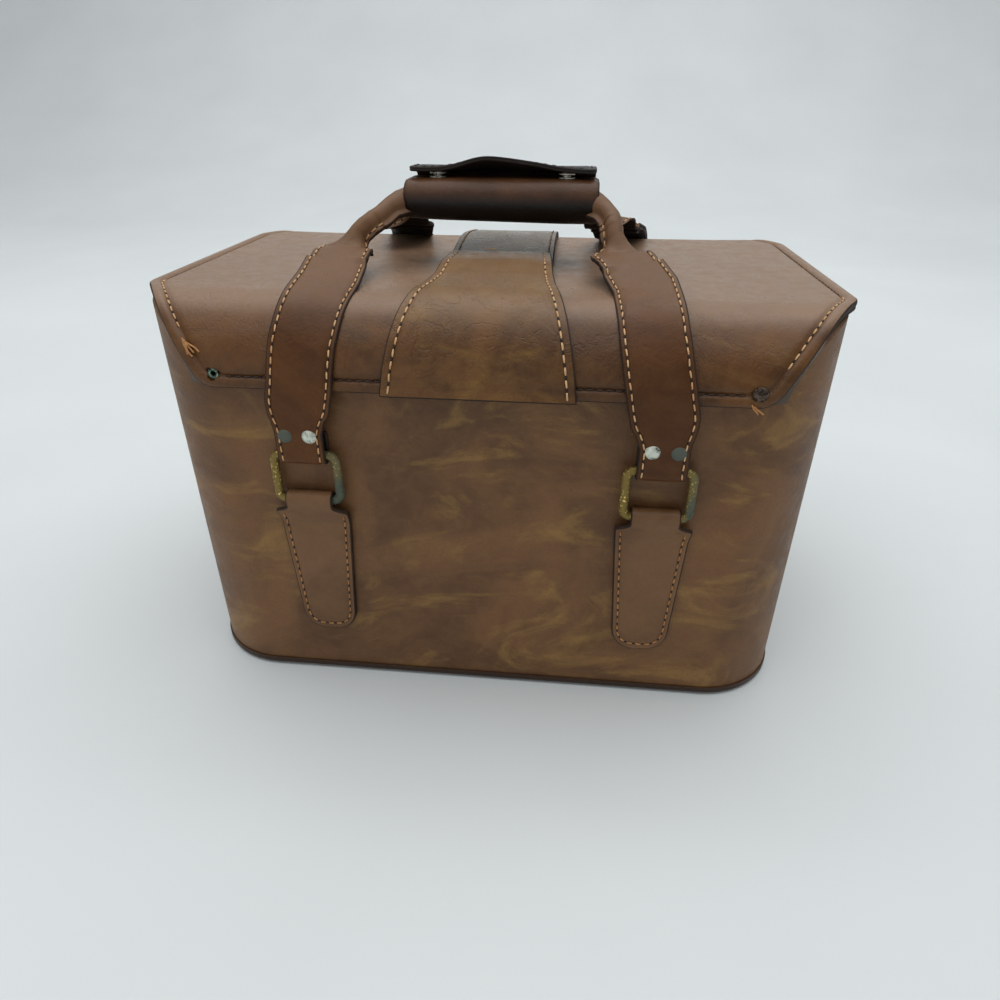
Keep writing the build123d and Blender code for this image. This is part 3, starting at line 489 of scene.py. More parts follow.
def panel(name, span, side, place, thick, rise, materials, step=2.0, count=14, edge=PLAIN_EDGE,
          rows=None, close=(0.7, 1.3, 2.0, 2.7, 3.4, 4.4, 6.2)):
    """Closed leather panel, side(s) wide each way: a grid on top, a rounded edge and a grid below."""
    if rows is None:
        rows = spaced(span[0], span[1], step)
    grid = flat_grid(rows, side, close, count)
    n, m = grid.shape[:2]
    flat = grid.reshape(-1, 2)
    trace = np.concatenate((np.linspace(span[0], span[1], 160), rows))
    trace = np.unique(np.clip(trace, span[0], span[1]))
    outline = np.array([(side(s), s) for s in trace] + [(-side(s), s) for s in trace[::-1]])
    distance = edge_distance(flat, outline)
    high = thick + rise(flat[:, 0], flat[:, 1], distance)
    index = np.arange(n * m).reshape(n, m)
    border = list(index[0, :]) + list(index[1:, -1]) + list(index[-1, -2::-1]) + list(index[-2:0:-1, 0])
    loop = flat[border]
    ahead_step = np.roll(loop, -1, axis=0) - np.roll(loop, 1, axis=0)
    outward = np.stack((ahead_step[:, 1], -ahead_step[:, 0]), 1)
    outward /= np.linalg.norm(outward, axis=1)[:, None]
    middle = flat.mean(0)
    if ((loop - middle) * outward).sum() < 0:
        outward = -outward
    flats, heights = [flat], [high]
    loops = [np.array(border)]
    size = n * m
    for inward, depth in edge[:-1]:
        flats.append(loop + outward * (EDGE_IN - inward))
        heights.append(high[border] * (1 - depth))
        loops.append(np.arange(size, size + len(border)))
        size += len(border)
    flats.append(flat)
    heights.append(np.zeros(n * m))
    lower = index + size
    loops.append(lower.ravel()[np.array(border)])
    flats, heights = np.concatenate(flats), np.concatenate(heights)
    points = place(flats[:, 0], flats[:, 1], heights) * MM
    faces, kinds = [], []
    for grid_index, way in ((index, 1), (lower, -1)):
        quads = np.stack(
            (grid_index[:-1, :-1], grid_index[:-1, 1:], grid_index[1:, 1:], grid_index[1:, :-1]), -1
        ).reshape(-1, 4)[:, ::way]
        faces += quads.tolist()
        kinds += [0 if way == 1 else min(2, len(materials) - 1)] * len(quads)
    for a, b in zip(loops[:-1], loops[1:]):
        quads = np.stack((a, np.roll(a, -1), np.roll(b, -1), b), 1)
        faces += quads.tolist()
        kinds += [min(1, len(materials) - 1)] * len(quads)
    return mesh_piece(name, points, faces, materials, kinds)


def sewn(depth=0.35, puff=0.3, at=2.7, width=0.8, fade=8.0):
    """Height rule of a sewn border: a groove at the stitches and a soft swelling inside it."""
    def rise(x, s, d):
        groove = -depth * np.exp(-(((d - at) / width) ** 2))
        swell = puff * eased(np.clip((d - at) / 2.2, 0, 1)) * np.exp(-np.maximum(d - at - 2.2, 0) / fade)
        return groove + swell
    return rise


# Stitches
def stitch_run(flat, place, height, pitch, share):
    """Start, end and outward direction of every stitch along one flat line."""
    flat = np.asarray(flat, float)
    spots = place(flat[:, 0], flat[:, 1], np.full(len(flat), height))
    raised = place(flat[:, 0], flat[:, 1], np.full(len(flat), height + 0.5))
    run = arc_length(spots)
    count = max(int(run[-1] / pitch), 1)
    pitch = run[-1] / count
    starts = (np.arange(count) + (1 - share) / 2) * pitch
    ends = starts + pitch * share
    normal = sampled(run, raised - spots, (starts + ends) / 2)
    normal /= np.linalg.norm(normal, axis=1)[:, None]
    return sampled(run, spots, starts), sampled(run, spots, ends), normal


def capsules(name, runs, radius, lift, material, tilt=0.0):
    """One mesh of many short rounded threads."""
    start = np.concatenate([r[0] for r in runs])
    end = np.concatenate([r[1] for r in runs])
    normal = np.concatenate([r[2] for r in runs])
    ahead_way = end - start
    length = np.linalg.norm(ahead_way, axis=1)[:, None]
    ahead_way = ahead_way / length
    side = np.cross(ahead_way, normal)
    side /= np.linalg.norm(side, axis=1)[:, None]
    lean = side * (rng.normal(tilt, 0.05, len(start)))[:, None] * length
    start, end = start - lean / 2, end + lean / 2
    shares = (0.0, 0.08, 0.3, 0.7, 0.92, 1.0)
    widths = (0.25, 0.75, 1.0, 1.0, 0.75, 0.25)
    rises = (-0.7, 0.1, 0.55, 0.55, 0.1, -0.7)
    corners = 8
    points = []
    for share, width, rise in zip(shares, widths, rises):
        middle = start + (end - start) * share + normal * (radius * (rise + lift))
        for corner in range(corners):
            angle = 2 * math.pi * corner / corners
            points.append(middle + (side * math.cos(angle) + normal * math.sin(angle)) * radius * width)
    points = np.stack(points, 1)
    per = len(shares) * corners
    block = []
    for ring_number in range(len(shares) - 1):
        for corner in range(corners):
            a = ring_number * corners + corner
            b = ring_number * corners + (corner + 1) % corners
            block.append((a, b, b + corners, a + corners))
    caps = (tuple(range(corners)), tuple(range(per - 1, per - corners - 1, -1)))
    faces = []
    for k in range(len(start)):
        faces += [tuple(i + k * per for i in quad) for quad in block]
        faces += [tuple(i + k * per for i in cap) for cap in caps]
    return mesh_piece(name, points.reshape(-1, 3) * MM, faces, [material])


def sew(name, lines, place, height, body, colour, pitch=5.0, share=0.72, radius=0.42, lift=0.15, tilt=0.0):
    """Rows of stitches with dark capsules between them as painted shade in the needle holes, riding on a
    body.
    """
    runs = [stitch_run(line, place, height, pitch, share) for line in lines]
    threads = capsules(name, runs, radius, lift, colour, tilt)
    holes = []
    for start, end, normal in runs:
        way = start[1:] - end[:-1]
        holes.append((end[:-1] - way * 0.25, start[1:] + way * 0.25, (normal[1:] + normal[:-1]) / 2))
    # Dark sunk capsules between the stitches, a painted shade in the needle holes.
    pits = capsules(name + "_holes", holes, radius * 1.05, -0.45, PAINTED_HOLE_SHADE)
    for piece in (threads, pits):
        fitted(piece, body)


# Lid
def on_lid(x, s, h):
    """Point above the lid: x across, s along the skin from the near foot, h out from it."""
    x, s, h = np.broadcast_arrays(np.asarray(x, float), s, h)
    out = ROLL + h
    y = np.where(s < 0, -ROLL_Y - out, 0.0)
    z = np.where(s < 0, LID_FOOT + s, 0.0)
    near = np.clip(s, 0, QUARTER) / ROLL
    y = np.where((s >= 0) & (s <= QUARTER), -ROLL_Y - out * np.cos(near), y)
    z = np.where((s >= 0) & (s <= QUARTER), LID_FOOT + out * np.sin(near), z)
    top = (s > QUARTER) & (s <= QUARTER + 2 * ROLL_Y)
    y = np.where(top, s - QUARTER - ROLL_Y, y)
    z = np.where(top, LID_FOOT + out, z)
    far = np.clip(s - QUARTER - 2 * ROLL_Y, 0, QUARTER) / ROLL
    over = s > QUARTER + 2 * ROLL_Y
    y = np.where(over, ROLL_Y + out * np.sin(far), y)
    z = np.where(over, LID_FOOT + out * np.cos(far), z)
    z = np.where(s > LID_SPAN, LID_FOOT - (s - LID_SPAN), z)
    return np.stack((x, y, z), -1)


LID_THICK = 4.1
APEX_S = 64.0
CORNER_X = 125.0
CORNER_ROUND = 14.0
APEX_ROUND = 14.0


def rounded_side(points, radii, steps=14):
    """Polyline through the points with its inner corners rounded."""
    out = [points[0]]
    for before, here, after, radius in zip(points[:-2], points[1:-1], points[2:], radii):
        a, b, c = Vector(before), Vector(here), Vector(after)
        u, v = (a - b).normalized(), (c - b).normalized()
        half = u.angle(v) / 2
        reach = radius / math.tan(half)
        middle = b + (u + v).normalized() * (radius / math.sin(half))
        first, last = b + u * reach - middle, b + v * reach - middle
        for k in range(steps + 1):
            mix = first.slerp(last, k / steps)
            out.append(tuple(middle + mix * (radius / mix.length)))
    out.append(points[-1])
    return np.array(out)


LID_SIDE = rounded_side(
    [(60.0, 0.0), (CORNER_X, 0.0), (LID_HALF, APEX_S), (LID_HALF, LID_SPAN / 2)],
    (CORNER_ROUND, APEX_ROUND),
)


def lid_edge(s):
    """Half the lid's width at s, the same from both feet."""
    s = min(s, LID_SPAN - s)
    return float(np.interp(s, LID_SIDE[1:, 1], LID_SIDE[1:, 0]))


LID_STITCH_IN = 5.6


def lid_rise(x, s, d):
    """Padded roll round the lid's border, pulled in at the stitches."""
    roll_shape = 0.9 * np.sin(np.clip(d / LID_STITCH_IN, 0, 1) * math.pi) ** 0.8
    groove = -0.9 * np.exp(-(((d - LID_STITCH_IN) / 0.9) ** 2))
    swell = 0.6 * eased(np.clip((d - LID_STITCH_IN) / 3.5, 0, 1)) * np.exp(-np.maximum(d - 9, 0) / 14)
    return roll_shape + groove + swell


lid_rows = [0.7, 1.0, 1.4, 1.9, 2.5, 3.2, 4.0, 4.8, 5.3, 5.8, 6.4, 7.2, 8.2, 9.4, 10.8, 12.4]
lid_rows += list(np.arange(14.2, QUARTER + 12, 1.9))
lid_rows += list(np.linspace(lid_rows[-1] + 2.4, LID_SPAN / 2, 26))
lid_rows = np.array(lid_rows + [LID_SPAN - s for s in lid_rows[-2::-1]])
lid_skin = panel(
    "lid_skin", (0.0, LID_SPAN), lid_edge, lambda x, s, h: on_lid(x, s, h - LID_THICK),
    LID_THICK, lid_rise, [LID_LEATHER, EDGE_LEATHER_AND_SHADE, EDGE_LEATHER_AND_SHADE], count=70, edge=LID_EDGE, rows=lid_rows,
    close=(0.7, 1.3, 2.0, 2.8, 3.6, 4.4, 5.0, 5.6, 6.2, 7.0, 8.2, 9.8, 12.0),
)

# Torn hole where the left corner rivet has lost its cap
hole_middle = sum(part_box("corner_rivet_left"), Vector()) / 2
cutter_mesh = bpy.data.meshes.new("cutter")
cutter = bmesh.new()
ring_points = []
for k in range(18):
    angle = 2 * math.pi * k / 18
    reach = (2.7 + 0.5 * math.sin(3 * angle + 0.6) + 0.25 * math.sin(7 * angle)) * MM
    pulled = 0.5 * MM if math.cos(angle) < 0 else 0
    ring_points.append((math.cos(angle) * reach - pulled, math.sin(angle) * reach))
front = [cutter.verts.new((hole_middle.x + a, -0.125, hole_middle.z + b)) for a, b in ring_points]
back = [cutter.verts.new((hole_middle.x + a, -0.100, hole_middle.z + b)) for a, b in ring_points]
cutter.faces.new(front)
cutter.faces.new(back[::-1])
for k in range(18):
    cutter.faces.new((front[k], back[k], back[(k + 1) % 18], front[(k + 1) % 18]))
bmesh.ops.recalc_face_normals(cutter, faces=cutter.faces)
cutter.to_mesh(cutter_mesh)
cutter.free()
cutter_piece = linked("cutter", cutter_mesh)
cut = lid_skin.modifiers.new("hole", "BOOLEAN")
cut.object = cutter_piece
cut.operation = "DIFFERENCE"
cut.solver = "EXACT"
bpy.context.view_layer.objects.active = lid_skin
bpy.ops.object.modifier_apply(modifier=cut.name)
bpy.data.objects.remove(cutter_piece)
fitted(lid_skin, "lid", "lid_cover")


def lid_stitch_line(first, last, sign, count=60):
    """Flat line at the stitch distance inside the lid's side edge, between two shares of it."""
    line = inset(LID_SIDE[1:], LID_STITCH_IN)
    run = arc_length(line)
    return sampled(run, line, np.linspace(first, last, count) * run[-1]) * (sign, 1)


def far_end(line):
    """The same flat line at the far half of the lid."""
    return line * (1, -1) + (0, LID_SPAN)


def surface_stitches(name, lines, colour, **options):
    """Stitches that lie in the lid border's groove."""
    sew(name, lines, on_lid, -0.55, "lid", colour, **options)


diagonals = [lid_stitch_line(0.12, 0.56, 1), lid_stitch_line(0.2, 0.56, -1)]
sides = [lid_stitch_line(0.56, 1.0, sign) for sign in (1, -1)]
surface_stitches("lid_stitches_bright", diagonals, PALE_THREAD, pitch=4.7)
far_lines = [far_end(line) for line in sides + diagonals]
surface_stitches("lid_stitches_dull", sides + far_lines, DULL_THREAD, pitch=4.7)
bottom = [[(x, LID_STITCH_IN) for x in np.linspace(a, b, 40)] for a, b in ((-114, -42), (42, 114))]
bottom.append([(x, LID_SPAN - LID_STITCH_IN) for x in np.linspace(-114, 114, 60)])
surface_stitches("lid_stitches_dark", bottom, DARK_THREAD, pitch=4.2, share=0.8)

# Closure strap: comes out from under the bell in a low arch, then goes down the far side
closure_low, closure_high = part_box("closure_strap")
bell_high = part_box("bell_band")[1]
BELL_END = QUARTER + ROLL_Y + bell_high.y / MM
CLOSURE_HALF = closure_high.x / MM
CLOSURE_START = QUARTER + ROLL_Y + closure_low.y / MM
CLOSURE_END = LID_SPAN + LID_FOOT - closure_low.z / MM
CLOSURE_THICK = 3.0
ARCH = 4.6
FAR_ROLL_S = QUARTER + 2 * ROLL_Y


def on_closure(x, s, h):
    """Closure strap's place, lifted off the lid in an arch behind the bell."""
    first, last = BELL_END - 4, FAR_ROLL_S + 6
    share = np.clip((s - first) / (last - first), 0, 1)
    lift = ARCH * np.sin(share * math.pi) ** 1.3 * (1 - 0.12 * np.abs(x) / CLOSURE_HALF)
    return on_lid(x, s, 0.35 + h + lift)


def closure_side(s):
    """Half width of the closure strap, tapered at its far end."""
    end = CLOSURE_END - s
    return float(np.interp(end, [0, 7, 22, 40], [19.0, 24.0, 27.0, CLOSURE_HALF]))


closure = panel(
    "closure_leather_strap", (CLOSURE_START, CLOSURE_END), closure_side, on_closure, CLOSURE_THICK,
    sewn(0.3, 0.2, 3.2), [CLOSURE_LEATHER_AND_SHEEN, EDGE_LEATHER_AND_SHADE, BLACK_LEATHER], step=2.4,
)
fitted(closure, "lid", "closure_strap")
closure_lines = both_sides(closure_side, 3.2, np.linspace(BELL_END + 3, CLOSURE_END - 4, 80))
closure_lines.append(np.array([(x, CLOSURE_END - 3.4) for x in np.linspace(-15, 15, 20)]))
sew("closure_stitches", closure_lines, on_closure, CLOSURE_THICK - 0.2, "lid", DULL_THREAD, pitch=4.6)

# Bell band over the near roll and the closure's root
BELL_THICK = 2.5
BELL_STEP = (QUARTER + ROLL_Y - 50, 20.0)
BELL_WIDTH = (
    (0, 43.2), (10.7, 41.9), (21.5, 40.0), (34, 37.6), (50, 34.2), (70, 31.0), (95, 28.6), (130, 26.2)
)


def bell_side(s):
    """Half width of the bell at s, rounded at its top end."""
    stations, widths = zip(*BELL_WIDTH)
    width = float(np.interp(s, stations, widths))
    left_over = max(BELL_END - s, 0.0)
    if left_over < 7:
        width -= 7 - math.sqrt(max(49 - (7 - left_over) ** 2, 0.0))
    return width


def on_bell(x, s, h):
    """Bell's place: flush on the roll, then stepped up over the closure strap's root."""
    share = np.clip((s - BELL_STEP[0]) / BELL_STEP[1], 0, 1)
    step_up = 3.6 * eased(share)
    foot = 1.1 * np.exp(-np.maximum(s, 0) / 4.0)
    return on_lid(x, s, h + step_up + foot + 0.05)


def bell_rise(x, s, d):
    """Sewn border, and a soft crown across the bell."""
    crown = 1.3 * np.clip(1 - (x / 44.0) ** 2, 0, 1) * np.clip((s + 2) / 30, 0.25, 1)
    return sewn(0.4, 0.35, 4.0, 0.9)(x, s, d) + crown * np.clip(d / 14, 0, 1)


bell = panel(
    "bell_leather", (-0.2, BELL_END), bell_side, on_bell, BELL_THICK, bell_rise,
    [BELL_LEATHER, EDGE_LEATHER_AND_SHADE, EDGE_LEATHER_AND_SHADE], step=1.8, count=22,
    close=(0.7, 1.3, 2.0, 2.7, 3.3, 4.0, 4.7, 5.6, 7.2),
)
fitted(bell, "lid", "bell_band")
bell_lines = both_sides(bell_side, 4.0, np.linspace(0.6, BELL_END - 5.0, 110))
sew("bell_stitches", bell_lines, on_bell, BELL_THICK - 0.15, "lid", PALE_THREAD, pitch=5.3, radius=0.45)
bell_top = np.array([(x, BELL_END - 4.0) for x in np.linspace(-19, 19, 24)])
sew("bell_top_stitches", [bell_top], on_bell, BELL_THICK, "lid", DULL_THREAD, pitch=4.2, radius=0.36)


# Chapes: a stitched tab on the body wall that loops round the ring's lower bar
def ring_numbers(name):
    """Ring's bar heights and how far out its wire stands, in millimetres."""
    low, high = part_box(name)
    wire = (high.y - low.y) / 2 / MM
    return low.z / MM + wire, high.z / MM - wire, -(high.y + low.y) / 2 / MM, wire


RING_LOW, RING_HIGH, RING_OUT, WIRE = ring_numbers("near_ring_right")
chape_low, chape_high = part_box("near_chape_right")
RING_X = (chape_low.x + chape_high.x) / 2 / MM
CHAPE_FOOT = chape_low.z / MM
CHAPE_WIDE = (chape_high.x - chape_low.x) / 2 / MM
CHAPE_NECK = 11.5
FOOT_ROUND = 15
FOOT_WIDE = 14.6
FOOT_POWER = 2.5
LIFT_OFF_Z = 98
TAB_THICK = 2.6
LOOP = WIRE + 2.1
SHOULDER = 107.8 - CHAPE_FOOT
NECK_END = SHOULDER + 4.4


def path_frame(path, first_normal):
    """Arc length, tangents and carried normals of a dense path."""
    run = arc_length(path)
    tangent = np.gradient(path, run, axis=0)
    tangent /= np.linalg.norm(tangent, axis=1)[:, None]
    normal = np.empty_like(path)
    normal[0] = first_normal
    for k in range(1, len(path)):
        carried = normal[k - 1] - tangent[k] * (normal[k - 1] @ tangent[k])
        normal[k] = carried / np.linalg.norm(carried)
    return run, tangent, normal


def chape_path():
    """Outer face of a chape from its foot, over the ring's bar and down behind it."""
    flat_y = NEAR_FACE - TAB_THICK
    points = [(0, flat_y, z) for z in np.linspace(CHAPE_FOOT, LIFT_OFF_Z, 60)]
    for z in np.linspace(LIFT_OFF_Z, RING_LOW, 22)[1:]:
        share = eased((z - LIFT_OFF_Z) / (RING_LOW - LIFT_OFF_Z))
        points.append((0, flat_y + share * (-RING_OUT - LOOP - flat_y), z))
    for angle in np.linspace(180, 0, 30)[1:]:
        turned = math.radians(angle)
        points.append((0, -RING_OUT + LOOP * math.cos(turned), RING_LOW + LOOP * math.sin(turned)))
    points += [(0, -RING_OUT + LOOP, z) for z in np.linspace(RING_LOW, RING_LOW - 4.5, 8)[1:]]
    return np.array(points)


CHAPE_PATH = chape_path()
CHAPE_RUN, _, CHAPE_NORMAL = path_frame(CHAPE_PATH, (0, -1, 0))


def chape_side(s):
    """Half width of a chape from its foot up: rounded foot, slanted sides, notched shoulders."""
    if s < FOOT_ROUND:
        share = max(1 - (1 - s / FOOT_ROUND) ** FOOT_POWER, 0.0)
        return FOOT_WIDE * share ** (1 / FOOT_POWER) + 0.001
    if s < SHOULDER:
        return float(np.interp(s, [FOOT_ROUND, SHOULDER], [FOOT_WIDE, CHAPE_WIDE]))
    if s < NECK_END:
        share = (s - SHOULDER) / (NECK_END - SHOULDER)
        return CHAPE_NECK + (CHAPE_WIDE - CHAPE_NECK) * (1 - share) ** 2.2
    return CHAPE_NECK


def chape_place(side, face):
    """Place function of one chape; face is -1 on the near wall and 1 on the far wall."""
    def place(x, s, h):
        spot = sampled(CHAPE_RUN, CHAPE_PATH, s)
        normal = sampled(CHAPE_RUN, CHAPE_NORMAL, s)
        normal /= np.linalg.norm(normal, axis=-1)[..., None]
        point = spot + normal * np.asarray(h)[..., None]
        point[..., 0] = side * RING_X + x
        point[..., 1] *= -face
        return point
    return place


chape_rows = [0.35, 0.8, 1.3, 1.9, 2.6, 3.3, 4.1, 5.0, 6.2, 7.6, 9.2, 11.0, 13.0]
chape_rows += list(np.arange(15.0, SHOULDER - 1, 2.4))
chape_rows += list(np.linspace(SHOULDER - 0.3, NECK_END + 0.2, 9))
chape_rows += list(np.arange(NECK_END + 1.2, CHAPE_RUN[-1] - 0.6, 1.1))
chape_rows = np.array(chape_rows)


def chape_thickness(s):
    """Leather thickness along the chape: two layers on the wall, one round the ring."""
    return np.interp(s, [SHOULDER - 12, SHOULDER + 2], [TAB_THICK, LOOP - WIRE - 0.15])


def chape_stitch_line():
    """Stitches down one side, round the foot and up the other."""
    rows = np.concatenate((np.linspace(0.02, FOOT_ROUND, 40), np.linspace(FOOT_ROUND + 1, SHOULDER - 1, 30)))
    edge = [(chape_side(s), s) for s in rows]
    line = inset(np.array([(-x, s) for x, s in edge[::-1]] + edge), 2.9)
    smooth = np.ones(5) / 5
    padded = np.pad(line, ((2, 2), (0, 0)), mode="edge")
    return np.stack([np.convolve(padded[:, k], smooth, "valid") for k in range(2)], 1)


for face, face_name in ((-1, "near"), (1, "far")):
    for side, side_name in ((-1, "left"), (1, "right")):
        place = chape_place(side, face)
        tab = panel(
            f"{face_name}_chape_leather_{side_name}", (0.0, CHAPE_RUN[-1]), chape_side,
            lambda x, s, h: place(x, s, h - chape_thickness(s)), TAB_THICK,
            lambda x, s, d: sewn(0.35, 0.25, 2.9)(x, s, d) * (s < SHOULDER) + chape_thickness(s) - TAB_THICK,
            [CHAPE_LEATHER, EDGE_LEATHER_AND_SHADE, EDGE_LEATHER_AND_SHADE], rows=chape_rows, count=8,
            close=(0.7, 1.3, 2.0, 2.9, 3.8, 5.2),
        )
        fitted(tab, "case", f"{face_name}_chape_{side_name}")
        sew(
            f"{face_name}_chape_stitches_{side_name}", [chape_stitch_line()], place, -0.2, "case",
            ORANGE_THREAD if face < 0 else DULL_THREAD, pitch=4.5, radius=0.4, share=0.68,
        )

# Handles: each strap loops round a ring, goes over the roll and is rolled up into the grip tube
STRAP_OUT = 3.55
LEATHER = 1.95
LINING = 1.3
RISE = math.radians(14.2)
FOLD_Y = 40.5
TUBE = 5.8
SLIM = 4.3
CORE = 2.2
CORE_SIDES = 12
TUBE_TURN = 5.64
FIN = 3.3
TWIST = 0.85
LATE = {-1: 0.0, 1: 7.0}


def strap_right_half():
    """Top centre line of the right strap, from behind its ring to the middle of the grip."""
    points = [(RING_X, -RING_OUT + LOOP, z) for z in np.arange(RING_HIGH + 11, RING_HIGH, -0.5)]
    for angle in np.linspace(0, -180, 40):
        turned = math.radians(angle)
        points.append((RING_X, -RING_OUT + LOOP * math.cos(turned), RING_HIGH + LOOP * math.sin(turned)))
    radius = ROLL + STRAP_OUT
    for z in np.arange(RING_HIGH + 0.5, LID_FOOT, 0.5):
        share = np.clip((z - RING_HIGH) / 14, 0, 1)
        points.append((0, -RING_OUT - LOOP + share * (RING_OUT + LOOP - ROLL_Y - radius), z))
    for angle in np.linspace(180, 90 + math.degrees(RISE), 90):
        turned = math.radians(angle)
        points.append((0, -ROLL_Y + radius * math.cos(turned), LID_FOOT + radius * math.sin(turned)))
    leave = points[-1]
    length = (-FOLD_Y - leave[1]) / math.cos(RISE)
    for along in np.arange(0.5, length, 0.5):
        points.append((0, leave[1] + along * math.cos(RISE), leave[2] + along * math.sin(RISE)))
    points = np.array(points)
    z_at = [RING_HIGH + 12, 160, LID_FOOT]
    lower = np.interp(points[:, 2], z_at, [RING_X, RING_X - 0.6, 79.6])
    s_roll = arc_length(points[:, 1:])
    foot_index = int(np.argmax(points[:, 2] >= LID_FOOT))
    s_roll = s_roll - s_roll[foot_index]
    upper = np.interp(s_roll, [0, 14, 30, 50, s_roll[-1]], [79.6, 76.6, 74.0, 72.0, 68.4])
    front_part = (np.arange(len(points)) > 60) & (points[:, 2] < LID_FOOT)
    points[:, 0] = np.where(s_roll >= 0, upper, np.where(front_part, lower, RING_X))
    fold_index = len(points)
    bend = [
        points[-1],
        (68.3, -37.6, 222.6),
        (67.4, -34.4, 226.8),
        (65.4, -31.0, 231.0),
        (62.4, -27.0, 234.5),
        (56.3, -17.6, 240.0),
        (50.8, -10.4, GRIP_Z + 5.2),
        (44.0, -TUBE_Y, GRIP_Z + TUBE),
        (30.0, -TUBE_Y, GRIP_Z + TUBE),
        (0.0, -TUBE_Y, GRIP_Z + TUBE),
    ]
    before = tuple(2 * np.array(bend[0]) - np.array(bend[1]))
    knots = np.array([before] + bend + [(-30.0, -TUBE_Y, GRIP_Z + TUBE)])
    curve = []
    for k in range(1, len(knots) - 2):
        p0, p1, p2, p3 = knots[k - 1:k + 3]
        steps = max(int(np.linalg.norm(p2 - p1) / 0.6), 2)
        for t in np.linspace(0, 1, steps, endpoint=False)[(1 if k == 1 else 0):]:
            curve.append(
                0.5 * (2 * p1 + (p2 - p0) * t + (2 * p0 - 5 * p1 + 4 * p2 - p3) * t**2
                       + (3 * p1 - p0 - 3 * p2 + p3) * t**3)
            )
    points = np.concatenate((points, np.array(curve), [bend[-1]]))
    window = 9
    padded = np.pad(points[:, 0], window // 2, mode="edge")
    smooth_x = np.convolve(padded, np.ones(window) / window, "valid")
    points[:-8, 0] = smooth_x[:-8]
    return points, fold_index


HALF_PATH, FOLD_INDEX = strap_right_half()
half_run, half_tangent, half_normal = path_frame(HALF_PATH, (0, 1, 0))
free_tangent = half_tangent[FOLD_INDEX - 30:]
upright = np.array((0, 0, 1.0)) - free_tangent * free_tangent[:, 2:]
half_normal[FOLD_INDEX - 30:] = upright / np.linalg.norm(upright, axis=1)[:, None]
FOLD_S = half_run[FOLD_INDEX]
ROLLED_S = FOLD_S + 10.0
FLIP = np.array((-1.0, 1.0, 1.0))
SHIFT_AT = [60, 80, FOLD_S - 34, FOLD_S - 8, FOLD_S - 2, ROLLED_S, ROLLED_S + 14]
STRAP_NORMAL = np.concatenate((half_normal, (half_normal * FLIP)[-2::-1]))


def whole_path(left_shift, right_shift):
    """Centre line of a whole handle, each half moved sideways by its own table."""
    right_part = HALF_PATH.copy()
    right_part[:, 0] += np.interp(half_run, SHIFT_AT, right_shift)
    left_part = HALF_PATH * FLIP
    left_part[:, 0] += np.interp(half_run, SHIFT_AT, left_shift)
    path = np.concatenate((right_part, left_part[-2::-1]))
    tangent = np.gradient(path, axis=0)
    return path, tangent / np.linalg.norm(tangent, axis=1)[:, None]


NEAR_PATH = whole_path([0, -2, -3, -6.2, -6.4, -4.6, 0], [0, 0, 0, -5.2, -7.4, -7.6, -3.5])
FAR_PATH = whole_path([0, 2, 4, 8, 7.5, 3, 0], [0, -1, -3, -8, -9.5, -11.5, -7])
STRAP_RUN = np.concatenate((half_run, 2 * half_run[-1] - half_run[-2::-1]))
STRAP_SPAN = STRAP_RUN[-1]
LOOP_END_S = 11 + math.pi * LOOP
NARROW_END_S = LOOP_END_S + 151 - RING_HIGH


def from_ring(s):
    """Arc length measured from the nearer ring end."""
    return np.minimum(s, STRAP_SPAN - s)


def fold_share(s, late=0.0):
    """How far the strap is rolled up: 0 flat, 1 a closed tube."""
    share = np.clip((from_ring(s) - (FOLD_S - 4 + late)) / (ROLLED_S - FOLD_S + 4), 0, 1)
    return eased(share)


def strap_side(s, late=0.0):
    """Half width of the handle leather, flat, at s."""
    s = float(from_ring(s))
    s -= late * min(max((s - FOLD_S + 20) / 16, 0.0), 1.0)
    tube, slim = [(radius * TUBE_TURN + 2 * FIN) / 2 for radius in (TUBE, SLIM)]
    narrow, rolled = NARROW_END_S, ROLLED_S
    stations = [0, narrow, narrow + 5, narrow + 12, FOLD_S - 16, FOLD_S - 3, rolled, rolled + 20, rolled + 28]
    return float(np.interp(s, stations, [11.25, 11.25, 12.6, 14.9, 14.4, 15.0, slim, slim, tube]))


def handle_place(face):
    """Place function of a handle; face is -1 for the near one and 1 for the far one."""
    path, tangents = NEAR_PATH if face < 0 else FAR_PATH
    late = LATE[face]

    def place(x, s, h):
        x, s, h = (np.asarray(v, float) for v in np.broadcast_arrays(x, s, h))
        spot = sampled(STRAP_RUN, path, s)
        normal = sampled(STRAP_RUN, STRAP_NORMAL, s)
        tangent = sampled(STRAP_RUN, tangents, s)
        side = np.cross(tangent, normal)
        side /= np.linalg.norm(side, axis=-1)[..., None]
        share = fold_share(s, late)
        fin = FIN * share
        half = np.array([strap_side(v, late) for v in s.ravel()]).reshape(s.shape)
        core = half - fin
        bend = np.maximum(TUBE_TURN * share / (2 * core), 1e-4)
        inner = np.clip(x, -core, core)
        angle = inner * bend
        over = 1 / bend
        b = np.sin(angle) * (over + h)
        n = np.cos(angle) * (over + h) - over
        sign = np.sign(x)
        rest = np.maximum(np.abs(x) - core, 0)
        last = core * bend
        way_b = sign * np.cos(last) * (1 - share)
        way_n = -np.sin(last) * (1 - share) - share
        size = np.sqrt(way_b**2 + way_n**2) + 1e-9
        way_b, way_n = way_b / size, way_n / size
        tail = rest > 0
        b = np.where(tail, sign * np.sin(last) * over + way_b * rest - way_n * sign * h, b)
        n = np.where(tail, np.cos(last) * over - over + way_n * rest + way_b * sign * h, n)
        twist = TWIST * np.clip((from_ring(s) - FOLD_S - late) / 10, 0, 1)
        n = n + over
        b, n = b * np.cos(twist) + n * np.sin(twist), n * np.cos(twist) - b * np.sin(twist) - over
        point = spot + side * b[..., None] + normal * n[..., None]
        if face > 0:
            point = point * np.array((1.0, -1.0, 1.0))
        return point
    return place


